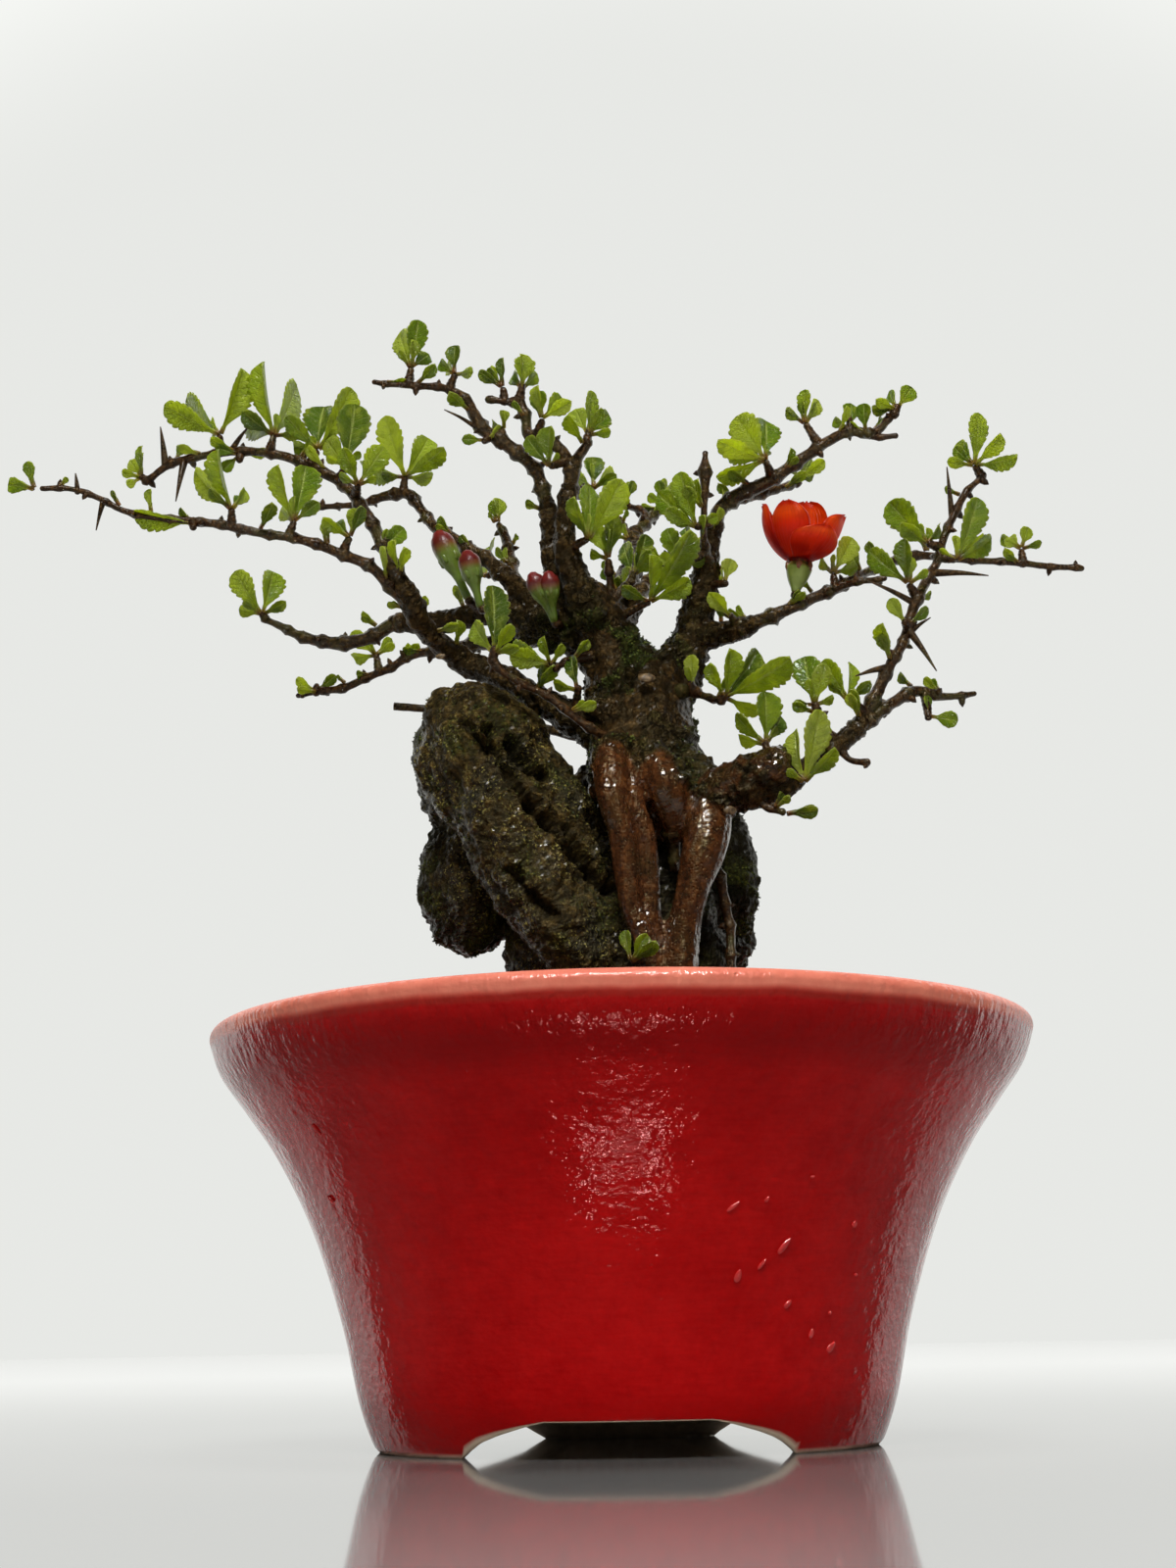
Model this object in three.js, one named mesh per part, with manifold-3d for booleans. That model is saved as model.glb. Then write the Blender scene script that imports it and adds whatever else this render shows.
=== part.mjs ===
// A quince rock bonsai in its flared red pot. Millimetres, +Z up.
// The origin is on the surface that the pot stands on, under the middle of the whole bonsai. The front faces -Y.
// Everything below is placed from the pot's own axis, and moved to that origin at the end.
import * as THREE from "three";
import { mergeVertices } from "three/addons/utils/BufferGeometryUtils.js";
import Module from "manifold-3d";

const wasm = await Module();
wasm.setup();

const POT_AXIS = 9.2; // from the middle of the whole bonsai to the pot's axis, along X

// Driving dimensions of the pot
const GAP = 0.3; // between pieces that touch
const SUNK = 0.5; // how deep a joined root goes in
const ROUND = 30; // sides of the turned pieces
const WALL = 4.5;
const FOOT_INNER = 38.5;
const FLOOR_UNDER = 6.5;
const FLOOR_TOP = 11;
const DRAIN_RADIUS = 8;
const ARCH = { count: 3, halfWidth: 27.5, halfCrown: 17, height: 5.8, inner: 30, outer: 60 };
const LIP = { outer: [74.6, 72.9], crown: [73.2, 73.5], inner: [71.6, 73.1] };
const FLARE = [[44.8, 0.9], [47.3, 7.3], [50.8, 22], [56.5, 38.9], [62.9, 51.4], [68, 58.7], [73.1, 65.9], [75, 71.2]];
const FLARE_STEPS = 6;

// Driving dimensions of what fills the pot
const SOIL = { edge: 64.5, crown: 68.5, grain: 0.6 };
const MESH = { side: 26, thick: 1, holes: 3, hole: 5, pitch: 7.6 };
const ROCK_BASE = 58; // the rock stands on this level, inside the soil

// Driving dimensions of the leaves, the flower and the buds
const BLADE = 0.6; // thickness
const PETIOLE = 0.45; // half the width of a leaf's stalk
const BROAD = 0.5; // a leaf's widest width, as a share of its length
const ARCHED = 0.1; // how far its tip bends back, likewise
const FLOWER = { base: [35.8, -10, 161.6], lean: 5, height: 10.4, radius: 7.9, petals: 5 };
const STAMENS = 6;
const CALYX_FOOT = [34.9, -10, 155];

// The wood. Each limb is a row of [x, y, z, radius], from where it leaves its parent out to its end.
const WOOD = {
  trunk: [[7, -3, 112, 8.5], [6.5, -3, 120, 10.4], [5, -2, 131, 10.3], [5, -1, 139, 8.7], [4, 0, 145, 6]],
  left_trunk: [[4, -1, 137, 8.3], [1, 0, 144, 6.6], [-1, 0, 150, 5.9], [-3, -1, 155, 5.3], [-6, -2, 159, 3.8]],
  left_arm: [[-1, 1, 152, 5.6], [-10, 4, 154, 5], [-16, 6, 156, 3.9], [-22, 8, 159.3, 2.5]],
  limb_b: [[-3, -2, 154, 4.9], [-6, -4, 159, 3.2], [-8.7, -5, 166.6, 2.3], [-8.2, -6, 175.5, 1.9],
    [-7.3, -7, 182, 1.7], [-9, -8, 186, 1.4], [-12.3, -8, 188.8, 1.2], [-15.1, -9, 189.1, 1.2],
    [-16, -9, 193, 1.2], [-17.1, -9, 196.7, 1.4]],
  limb_b_right: [[-7.3, -7, 181.5, 1.5], [-5.9, -8, 184.4, 1.2], [-4.1, -9, 187.2, 1]],
  limb_b_back: [[-7.8, -6, 180, 1.3], [-5.5, 0, 180, 1.1], [-4, 5.5, 181.5, 0.9]],
  limb_c: [[-17.1, -9, 196, 1.2], [-20, -10, 195.7, 0.8], [-23, -10, 196, 0.7]],
  limb_a: [[-3, 0, 153, 4.2], [-9.3, 1, 161, 2.7], [-11.3, 0, 167, 2.3], [-11.8, -1, 174.6, 1.9],
    [-12.8, -2, 180.4, 1.7], [-14.3, -3, 184.6, 1.5], [-20.3, -5, 189.3, 1.6], [-24.2, -6, 191.4, 1.5],
    [-27.9, -8, 197.2, 1.2], [-31, -8, 199.2, 0.9], [-36.3, -9, 199.9, 0.8], [-45.8, -10, 200.7, 0.6]],
  stub_a: [[-21, -5, 188.5, 1.1], [-20.5, -6, 191.2, 0.8]],
  limb_e: [[-13, 5, 155.5, 3.6], [-19.1, 5, 163.3, 2.1], [-22.9, 4, 166.9, 1.8], [-30.4, 6, 173.4, 1.4],
    [-34.7, 8, 176.4, 1.4], [-38.2, 10, 181.4, 1.2], [-41.4, 12, 185.9, 1.4], [-46, 14, 186.4, 1.2],
    [-51.4, 16, 185.4, 0.8], [-60.2, 18, 185.7, 0.6]],
  limb_d: [[-19.1, 5, 163, 1.6], [-20.1, 10, 170.3, 1.3], [-21, 13, 175.6, 1.2], [-22.8, 14, 179.6, 0.8]],
  limb_l2: [[-16, 6.5, 156.5, 3.5], [-24.2, 9, 158.9, 2.5], [-36.3, 13, 158.4, 2.3], [-43.4, 15, 159.3, 1.8],
    [-48.4, 16, 157.2, 1.6], [-54.5, 17, 156.2, 1.6], [-62.6, 18, 157.8, 1.2], [-70.4, 18, 161.7, 0.8]],
  limb_l3: [[-11, 6, 154, 2.8], [-20.6, 14, 154.5, 2], [-28.7, 18, 155.3, 1.6], [-35, 22, 155.5, 1.4],
    [-40.3, 25, 155.8, 1.1], [-47.7, 28, 153.3, 1], [-55.2, 31, 151.2, 1], [-66.1, 35, 150.3, 0.6]],
  limb_l1: [[1, -2, 129, 4.9], [-7, -3, 133, 3.4], [-15.3, 0, 138.5, 2.7], [-22, 2, 143.5, 2.5],
    [-27.8, 3, 146.5, 2.5], [-32.3, 0, 149, 2.2], [-36.2, -5, 151.6, 2.1], [-38.5, -9, 155.9, 2.3],
    [-40.7, -11, 160, 1.9], [-43.3, -13, 165.6, 1.5], [-45.9, -14, 171, 1.3], [-48.5, -14, 175.3, 1.3],
    [-52.3, -13, 179.2, 1.3], [-57.1, -12, 182.1, 1.3], [-62.6, -11, 184.9, 1.1], [-74.8, -9, 186.8, 0.9],
    [-85.3, -7, 185.5, 0.9], [-90.2, -6, 182.5, 0.7]],
  limb_l1b: [[-38, -8.5, 155.2, 1.6], [-41.2, -10, 157.4, 1.2], [-44.4, -12, 160.7, 1.2], [-49.7, -14, 163.2, 1.2],
    [-61.4, -17, 166.1, 1], [-76.8, -19, 168.6, 0.9], [-91.3, -21, 170.8, 0.7], [-99.4, -22, 174.3, 0.6],
    [-106.2, -23, 174.2, 0.6]],
  cut_rod: [[-6, 6, 132, 1], [-28.5, 12.5, 139.4, 0.8], [-43.6, 12.5, 141.1, 0.8]],
  shoot_s: [[2, -10, 126, 1.2], [-3.9, -14, 128.1, 1], [-12, -16.5, 133.3, 0.8], [-20.2, -19, 138.2, 0.8],
    [-22.1, -19, 140, 0.9]],
  twig_arm: [[-2, -3, 146, 1.2], [-8, -5, 144.5, 0.9], [-10.6, -6, 142.6, 0.7]],
  limb_r1: [[6, 0, 134, 7.6], [12, 0, 143, 5], [15, 0, 149, 3.9], [17, -1, 157, 3.2], [18.8, -2, 163.4, 2.5],
    [19.9, -3, 170.1, 1.9], [21.6, -4, 175.1, 1.7], [24.8, -5, 177.3, 1.7], [31.2, -6, 179.8, 1.5],
    [42.7, -8, 186.7, 1.2], [47.1, -9, 188.2, 1.1], [51.8, -9, 188.2, 1], [55.4, -10, 191, 0.7]],
  limb_r1_spur: [[47.1, -9, 188.2, 0.8], [51.2, -9, 187.2, 0.7], [55.8, -10, 186.7, 0.6]],
  limb_r1b: [[21.5, -4, 174.8, 1.4], [24, -1, 177.4, 1.1], [29.9, 4, 180.8, 1], [36.2, 9, 184.3, 1],
    [38, 10.6, 185.6, 0.7]],
  limb_r1c: [[19, -2.5, 163.5, 1.4], [17.7, -9, 167.3, 0.8], [18, -11, 172.1, 0.8], [18.4, -12, 176, 1],
    [18.6, -12, 179.5, 1.4], [18.7, -12, 183.3, 0.3]],
  limb_k: [[-1, 0, 152, 4.6], [0.5, 6, 160, 3.1], [3.3, 14, 167.4, 2.4], [5.1, 26, 177.1, 1.9],
    [5.3, 36, 184.3, 1.7], [8, 42, 190.1, 1.3], [11.6, 46, 194.5, 1.1]],
  limb_k2: [[7, 40, 188, 1.1], [7.5, 43, 192.6, 0.9], [3.9, 46, 195.4, 0.9]],
  limb_k3: [[5, 34, 182.5, 1.1], [2.5, 38, 187.8, 1]],
  limb_m: [[1, 2, 153, 3], [5.1, 6, 160.5, 1.8], [9.9, 14, 169.2, 1.2], [13.1, 19, 174.1, 1], [16.3, 23, 177.6, 0.7]],
  limb_n: [[-2, -1, 153, 3], [1, -3, 157.5, 1.4], [3.8, -3, 160.4, 0.9]],
  limb_n2: [[0, -2, 156, 1.4], [-0.3, -4.5, 161.8, 0.8]],
  limb_r2: [[15, -1, 149.5, 3], [22.6, -4, 149.6, 2.3], [28.2, -7, 150.9, 1.7], [37.6, -8, 154.5, 1.3],
    [42.4, -7, 156.5, 1.3], [47, -4, 160, 1.1], [53.2, 2, 164.6, 1], [60.7, 7, 168.3, 1], [75.8, 10, 167.9, 0.8],
    [94.4, 12, 166.5, 0.7]],
  limb_r2b: [[40.4, -8, 155.4, 1], [45.7, -11, 156.4, 0.8], [51.5, -13, 156.7, 0.6]],
  limb_r3: [[16, -15, 110, 4.4], [18.5, -16.5, 114.3, 4.3], [22.5, -18.5, 116, 4.2], [26.5, -19.5, 117.5, 4.2],
    [29.8, -20.5, 118.6, 4]],
  limb_r3m: [[24, -18.5, 114.5, 3.6], [30.6, -19, 115.2, 2.4], [35.7, -19, 119.3, 1.8], [40.7, -19, 122.7, 1.8],
    [45.3, -18, 127, 1.8], [47.9, -18, 132, 1.5], [50.5, -18, 137, 1.2], [53.9, -17, 142.7, 1.1],
    [56.5, -16, 150.5, 1.2], [61.4, -14, 159, 1], [62.9, -14, 164.1, 0.9], [67.7, -12, 173.5, 0.8],
    [71.5, -11, 177.4, 0.6]],
  limb_r3b: [[45.8, -18, 126.6, 1.4], [50.4, -17, 130.3, 1.3], [55.9, -15, 134, 1.3], [61, -13, 133.4, 0.9],
    [67.7, -11, 134.2, 0.6]],
  limb_r3c: [[40.7, -19, 122.7, 0.9], [42.8, -20, 119.8, 0.7], [45.8, -21, 118.8, 0.7]],
  limb_u: [[24.6, -18, 115.3, 1.4], [26.5, -20, 111.5, 0.8], [30.2, -21, 109.6, 0.7]],
  twig_t: [[11, -6, 138, 1.6], [14.5, -9.5, 136.2, 1.3], [16.6, -13, 134.2, 0.8], [19.7, -16, 132.4, 0.7]],
  twig_h: [[40.7, -19, 122.7, 1], [38.6, -20, 126, 0.8], [37, -20, 128.8, 0.7]],
  root_1: [[2, -7, 126, 4], [0, -13, 124, 3.8], [-0.6, -17.5, 119, 3.5], [-0.4, -19.5, 113.5, 3], [1, -20.5, 106.7, 2.5],
    [1.9, -20.5, 98, 2.3], [2.6, -20.5, 92.5, 2.1], [4.4, -20.5, 88.2, 2.1], [6, -20.5, 80, 2.1], [7.8, -20.5, 70, 2],
    [8.5, -21, 62, 1.7]],
  root_1b: [[3.5, -10, 124, 3.2], [2.4, -16.5, 119.5, 2.4], [3.5, -19, 112.5, 1.9], [5.2, -19, 107, 1.9],
    [5.8, -19, 98, 1.9], [6.1, -19, 90, 1.8], [8, -19, 82, 1.8], [10.5, -18, 74, 1.7], [12, -19, 62, 1.4]],
  root_2: [[6, -7, 125, 3.8], [6.9, -13.5, 122, 3.6], [8.5, -17, 117.5, 4], [9.6, -17.5, 114, 3.8],
    [10.2, -17, 110.3, 2.8], [10.5, -15, 106, 1.5], [10.4, -13, 101.5, 1]],
  root_3: [[12, -5, 124, 4.2], [15.4, -11.5, 119, 4], [16.4, -15, 113, 4.4], [16.6, -17, 108.5, 4.4],
    [15.7, -18.5, 103.5, 4], [14.1, -19, 98.6, 3.3], [12.6, -19, 93.4, 3], [11.6, -19, 88.6, 3.1],
    [10.8, -19.5, 82, 3.2], [11, -19.5, 74, 3], [11, -20, 62, 2.3]],
  root_4: [[16.5, -13, 106, 1.8], [19.3, -11, 98.1, 1.1], [20.5, -10, 90.2, 1], [20.5, -10, 80, 1],
    [21, -11, 63, 0.9]],
  root_back: [[5, 2, 122, 5], [3, 12, 118, 3.6], [1, 19, 107, 2.6], [-1, 22, 92, 2.2], [-2, 22, 76, 2.1],
    [-3, 23, 62, 1.7]],
  root_left: [[0, 0, 124, 4.2], [-9, 7, 120, 2.8], [-14, 16, 111, 2], [-16, 20, 98, 1.7], [-15, 20, 80, 1.6],
    [-15, 20, 63, 1.3]],
};
const WOOD_SIDES = [[6, 10], [2.6, 6], [1.25, 5], [0, 4]]; // from this largest radius on, this many sides
const WOOD_STEP = 0.55; // a point that lies nearer than this to a straight limb is left out
const SPUR_LEAST = 1.4; // a rosette nearer than this to its limb sits on it, with no spur

// Thorns: from, to, radius at the foot
const THORN_TIP = 0.3;
const THORNS = [
  [[-86.5, -7, 185.4], [-87.6, -7.5, 193.2], 0.8], [[-82.8, -7.5, 185.6], [-83.7, -9.5, 176.8], 0.8],
  [[-73.4, -9, 187], [-69.6, -12, 190.8], 0.7], [[-99.6, -22, 174], [-100, -22.5, 177.6], 0.6],
  [[-94.9, -21.5, 172], [-95.8, -22, 166.4], 0.6], [[65, -13, 168], [64.5, -13.5, 178.6], 0.7],
  [[60.8, -14.5, 157], [70.2, -18, 155], 0.8], [[55, -17, 145], [59.4, -19, 136.4], 0.8],
  [[55.2, -16, 144.6], [59, -18, 147], 0.6], [[51, -18, 137.6], [44.4, -20, 135.4], 0.8],
  [[56.6, -16, 150.5], [47.6, -19, 154.2], 0.7], [[-26, -7, 192], [-31.8, -9, 194.8], 0.5],
  [[12, 46, 194], [17, 49, 196], 0.6], [[5.2, 30, 180], [11, 33, 178], 0.6],
];

// Leaves as seen from the front. Each rosette has the place of its spur's tip and then its leaves:
// [lean from upright, length, width, turn towards the back], in degrees and millimetres.
const ROSETTES = {
  leaves_l1b_tip: [[-107, -23, 174.4], [-75, 5.7, 3.5, 10], [-15, 4.5, 2.5, -30]],
  leaves_l1b_d: [[-71, -19.5, 170.3], [-45, 11.8, 4.6, 10], [-15, 9.3, 3.6, -35], [20, 4, 2.4, 35]],
  leaves_l1b_e: [[-59.8, -17, 168.6], [-20, 9, 3.2, -35], [12, 11.6, 5.6, 0], [-45, 5, 2.4, 35], [62, 5.5, 3.2, -25]],
  leaves_l1b_f: [[-49.5, -15.5, 165.8], [20, 5.2, 4.4, -20], [-35, 5, 3, 25]],
  leaves_l1_tip: [[-91.2, -6, 183.4], [-35, 5.3, 3.2, 15], [0, 5, 2.3, -35], [-120, 3.4, 2.2, 0]],
  leaves_l1_a: [[-75.6, -9, 190], [-43, 13.6, 5.4, 25], [-68, 11.2, 4.5, -20], [22, 14, 4.2, -5]],
  leaves_l1_c: [[-65, -10, 189.3], [-41, 12, 3.6, 40], [-12, 14, 4.4, -15], [18, 14.2, 3.8, 25], [-64, 6, 3, -38]],
  leaves_l1_g: [[-56.2, -12.5, 185], [0, 11.3, 7, 20], [34, 13.2, 3.8, -12], [-48, 7.8, 4.2, -25], [-72, 5.6, 3, 25]],
  leaves_l1_h: [[-50.4, -15, 180.6], [12, 11, 7.4, -20], [-36, 7, 5, 5]],
  leaves_l1_i: [[-47.6, -17, 176], [38, 8.3, 5.4, -15], [-25, 5.4, 4, -45]],
  leaves_e_j: [[-41.6, 12, 189], [-20, 11.6, 6.4, -25], [27, 11, 5.4, 15], [70, 9, 2.4, -30], [-66, 11, 2.4, 30]],
  leaves_l2_k: [[-71.2, 18, 162.8], [-34, 9.6, 5, -20], [12, 10.6, 4.5, 15], [-72, 5.5, 3, 20], [70, 5.4, 2.3, -15]],
  leaves_l3: [[-49, 29, 156.6], [-50, 6.5, 4, -20], [-85, 5.4, 2.8, 35], [40, 5, 2.6, 10]],
  leaves_d: [[-24.4, 11, 167.6], [-45, 10.8, 5, 25], [-2, 10.6, 4.6, 40]],
  leaves_s: [[-21.8, -20, 142], [2, 12.6, 6.3, -10], [-32, 8.2, 4, 20], [45, 5.2, 2.2, -40]],
  leaves_arm: [[-11.8, -6.5, 143.2], [-60, 9.4, 3.6, 20], [-84, 7.4, 4.8, -25], [-20, 4.4, 2.2, -40]],
  leaves_a_tip: [[-38.4, -9, 203.3], [-18, 9.6, 5.4, 15], [12, 8.8, 5, -20], [38, 5.6, 3.6, 30]],
  leaves_a_b: [[-30, -8.5, 201.8], [0, 5.8, 3.8, -10], [-42, 5, 2.6, 25]],
  leaves_c_tip: [[-20.2, -10.4, 198], [-35, 5.2, 3.2, 10], [-2, 4.6, 2.6, -35]],
  leaves_c_b: [[-16.6, -9.4, 199.2], [6, 6.4, 4.8, -10], [38, 5.4, 2.2, 25], [-24, 5.2, 3, 35]],
  leaves_b_top: [[-12.8, -10.6, 191.2], [-8, 5, 4.4, -20], [40, 6.4, 4.8, 15], [75, 5.6, 3.4, -35]],
  leaves_b_right: [[-3.8, -9.2, 189.2], [-22, 7, 4.2, 15], [8, 8, 3.5, -20], [38, 7, 4, 20]],
  leaves_b_mid: [[-10.9, -9.4, 182.4], [-38, 7.4, 3.5, -8], [0, 6.2, 3.5, -38]],
  leaves_b_back: [[-3.4, 6.6, 183.6], [2, 7.2, 4.6, 5], [42, 7, 3.6, 30], [70, 5, 2.6, -25], [-44, 6, 3.4, 30]],
  leaves_mid_1: [[-4.6, -9, 167.2], [4, 11.2, 5.4, 0], [38, 11.4, 5, -28], [-30, 6.4, 2.2, -45]],
  leaves_mid_2: [[-0.4, -5.4, 164], [-20, 7, 4.2, -2], [14, 6.8, 4, -34]],
  leaves_mid_3: [[4.4, -3.6, 162.2], [-14, 8, 4.3, 18], [22, 8, 4, -16], [52, 6, 3, 15]],
  leaves_mid_4: [[6.8, -6, 155.2], [42, 12.8, 4.6, -38], [64, 9, 4, 0], [8, 6.4, 2.4, -50]],
  leaves_k: [[12.2, 46.4, 196.6], [-15, 4.8, 3, -20], [25, 5, 3, 20], [70, 4.6, 2.8, 30], [-56, 4.6, 2.6, 25]],
  leaves_k_2: [[3.3, 46.4, 197.4], [-22, 4.8, 3, -20], [18, 4.8, 2.8, 5], [-62, 4.6, 2.8, 25]],
  leaves_r1_left: [[16.6, -10.6, 168.8], [-46, 10.4, 5, 5], [-20, 9.4, 5.2, -30], [-70, 6, 3, -30]],
  leaves_r1_left_2: [[14.4, -7.4, 162.4], [-24, 7.6, 4.3, -15], [-62, 5.2, 3, 10]],
  leaves_r1_up: [[30.4, -9.4, 182.2], [-33, 10, 7.4, -10], [6, 9.6, 6.6, 15], [-60, 8.8, 3, 30], [-86, 9, 2.3, -35],
    [-110, 9.8, 3, 10]],
  leaves_r1b: [[38.6, 11.2, 187.4], [30, 6.6, 4.4, 20], [60, 6.2, 3, -15], [-16, 5, 3, 30]],
  leaves_r1_m: [[38.7, -8.2, 190], [0, 6.4, 3.4, -15], [32, 6.4, 2.6, 15], [-45, 5.2, 2.2, 20]],
  leaves_r1_end: [[56.2, -10.4, 192.6], [38, 5, 4, -15], [-14, 4.8, 2.2, 20]],
  leaves_r2_f: [[42.4, -9.4, 158.6], [32, 7.8, 5.2, -8], [68, 5.6, 2.6, 25]],
  leaves_r3_a: [[60, -15.4, 162.4], [-42, 10.4, 6.6, -10], [-72, 5.4, 2.6, -45]],
  leaves_r3_b: [[64.4, -15, 159.4], [24, 11, 4.8, -25], [58, 9, 4, 15]],
  leaves_r2_e: [[82.4, 11, 170.2], [20, 4.4, 3.8, -15], [-30, 3.8, 3, 30], [-70, 3.6, 2.4, -20]],
  leaves_r3_d: [[55.6, -17.8, 153.4], [-46, 10, 4.4, 8], [-12, 6.6, 3, -40]],
  leaves_r3_tip: [[70.2, -12.4, 178.8], [8, 9.8, 5.2, -15], [-26, 6.4, 3.4, 20], [80, 9, 2.4, 10], [52, 6, 2.8, -40]],
  leaves_t: [[20.6, -17, 132.9], [-32, 6, 2.2, -30], [12, 6.8, 4, -45], [38, 11.4, 4, 5], [73, 12.2, 3.7, -34],
    [112, 7.3, 2.3, 20]],
  leaves_h: [[36.7, -20.3, 130.2], [-10, 9.8, 6.2, 5], [14, 6, 4.4, -40], [-88, 4, 2.2, 0]],
  leaves_h_2: [[43.3, -20, 130.6], [-34, 8, 4, -20], [10, 7.6, 2.6, 10], [60, 4.4, 2.4, -35]],
  leaves_st_1: [[27.4, -21, 122.6], [3, 9.4, 5.9, -10], [32, 6.8, 3.4, 20], [-44, 8, 2.5, 10]],
  leaves_st_2: [[33.4, -23.3, 115.2], [17, 13, 6.3, -12], [-9, 10.4, 3, 12], [54, 7, 2.3, -35]],
  leaves_sprout: [[2.6, -23.4, 83], [-12, 5.6, 2.8, 0], [34, 5, 3.4, -25]],
};

// Small leaves that are joined to the wood, in the same form
const SMALL_LEAVES = [
  [[-78, -20.4, 167.2], [-84, 11.2, 3.2, -8]],
  [[-43.6, -13, 164.4], [48, 6.4, 4, -10]],
  [[-22.6, 14.2, 180.6], [4, 5.4, 4, 0]],
  [[-6.6, -7.4, 138], [-12, 7, 3.3, 0]],
  [[-24, -7.8, 188.6], [-95, 4.4, 2.5, -20]],
  [[22, -5.4, 159], [18, 5, 3.5, -10]],
  [[22.6, -8, 151.6], [-50, 5.4, 3.6, -35]],
  [[46.9, -9.2, 190.6], [5, 5.4, 4.2, 0]],
  [[54.2, -18.6, 146], [-34, 5.8, 2.8, -10]],
  [[14.6, -11.8, 137], [-4, 6.2, 3.2, -20]],
  [[57.9, -15.8, 128.4], [104, 5.4, 3.6, -10]],
];

// Buds: foot, top, widest radius
const BUDS = {
  bud_left_high: [[-28, 2.6, 159.6], [-34, 2.4, 173.6], 2.4],
  bud_left_low: [[-25.4, -0.6, 156.6], [-28, -2.4, 167.6], 2.2],
};
const BUD_PAIR = { foot: [-11, -2.8, 152.6], tops: [[-15.2, -6.4, 161.4], [-12, -7.4, 161.2]], radius: 1.9 };

// The rock's lobes: centre, half sizes across, deep and along, lean in degrees
const LOBES = [
  { at: [-18, -11, 109], half: [10, 9, 31], lean: -27, detail: 3 },
  { at: [-24.5, -9, 124], half: [12.5, 8.5, 14.5], lean: -10, detail: 2 },
  { at: [-12, -7.5, 116.5], half: [6.2, 8, 22], lean: -31, detail: 2 },
  { at: [-6.5, -9.5, 102], half: [5, 6, 19], lean: -24, detail: 2 },
  { at: [0, 3, 89], half: [20.5, 16, 32], lean: 0, detail: 2 },
  { at: [-29, 2.5, 125], half: [9.8, 9.5, 13.5], lean: -8, detail: 2 },
  { at: [-25.5, 6, 105.5], half: [11.5, 11, 15], lean: 12, detail: 2 },
  { at: [14.5, 11, 105], half: [12.4, 12.5, 23.5], lean: -6, detail: 2 },
  { at: [2, 2, 71], half: [20, 18, 20], lean: 0, detail: 1 },
];
const CRAG = 0.1; // how deep the rock's hollows go, as a share of a lobe's size

// Colours, from the photograph
const COLOURS = {
  pot: [0xa01418, 0.22], drain: [0x2c2f2d, 0.7], soil: [0x4a3524, 0.95], rock: [0x3b362b, 0.8],
  wood: [0x4f3a2a, 0.65], leaf: [0x6f9a2f, 0.45], petal: [0xd4270f, 0.5], calyx: [0x7c9a3c, 0.5],
  stamen: [0xe3c24a, 0.6], bud: [0x9a5a3a, 0.5],
};
const MATERIALS = Object.fromEntries(Object.entries(COLOURS).map(([name, [color, roughness]]) => [
  name,
  new THREE.MeshStandardMaterial({ color, roughness, metalness: 0 }),
]));

const vec = (p) => new THREE.Vector3(p[0], p[1], p[2]);
const rad = THREE.MathUtils.degToRad;

// A closed geometry as a solid
function solidOf(geometry) {
  geometry.deleteAttribute("normal");
  geometry.deleteAttribute("uv");
  const merged = mergeVertices(geometry, 1e-4);
  return new wasm.Manifold(new wasm.Mesh({
    numProp: 3,
    vertProperties: merged.attributes.position.array,
    triVerts: new Uint32Array(merged.index.array),
  }));
}

function joined(solids) {
  return solids.reduce((whole, next) => whole.add(next));
}

// The largest body, without the scraps that a cut leaves
function mainBody(solid) {
  return solid.decompose().reduce((a, b) => (b.volume() > a.volume() ? b : a));
}

function meshOf(name, solid, material) {
  const { vertProperties, triVerts } = solid.getMesh();
  const geometry = new THREE.BufferGeometry();
  geometry.setAttribute("position", new THREE.BufferAttribute(new Float32Array(vertProperties), 3));
  geometry.setIndex(new THREE.BufferAttribute(new Uint32Array(triVerts), 1));
  geometry.computeVertexNormals();
  const mesh = new THREE.Mesh(geometry, material);
  mesh.name = name;
  return mesh;
}

// A round bar with its own radius at each point of its path: a cylinder whose rings are moved there
function bar(path, sides) {
  const points = path.map(vec);
  const geometry = new THREE.CylinderGeometry(1, 1, 1, sides, path.length - 1);
  const frames = [];
  let normal = null;
  points.forEach((point, k) => {
    const before = points[Math.max(k - 1, 0)];
    const after = points[Math.min(k + 1, points.length - 1)];
    const along = after.clone().sub(before).normalize();
    if (!normal) {
      normal = Math.abs(along.z) < 0.9 ? new THREE.Vector3(0, 0, 1) : new THREE.Vector3(1, 0, 0);
    }
    normal = normal.clone().addScaledVector(along, -normal.dot(along)).normalize();
    frames.push({ normal, side: along.clone().cross(normal) });
  });
  const position = geometry.attributes.position;
  for (let i = 0; i < position.count; i++) {
    const k = Math.round((0.5 - position.getY(i)) * (path.length - 1));
    const radius = path[k][3];
    const moved = points[k].clone()
      .addScaledVector(frames[k].normal, position.getX(i) * radius)
      .addScaledVector(frames[k].side, position.getZ(i) * radius);
    position.setXYZ(i, moved.x, moved.y, moved.z);
  }
  return solidOf(geometry);
}

// A limb without the points that lie almost on the straight line between others
function thinned(path) {
  const from = new THREE.Vector4(...path[0]);
  const step = new THREE.Vector4(...path.at(-1)).sub(from);
  const away = path.map((p) => {
    const here = new THREE.Vector4(...p).sub(from);
    return here.addScaledVector(step, -here.dot(step) / step.lengthSq()).length();
  });
  const most = Math.max(...away);
  if (most < WOOD_STEP) {
    return [path[0], path.at(-1)];
  }
  const bend = away.indexOf(most);
  return [...thinned(path.slice(0, bend + 1)).slice(0, -1), ...thinned(path.slice(bend))];
}

const LIMBS = Object.values(WOOD).map(thinned);

function sidesFor(path) {
  const largest = Math.max(...path.map((p) => p[3]));
  return WOOD_SIDES.find(([radius]) => largest >= radius)[1];
}

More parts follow.
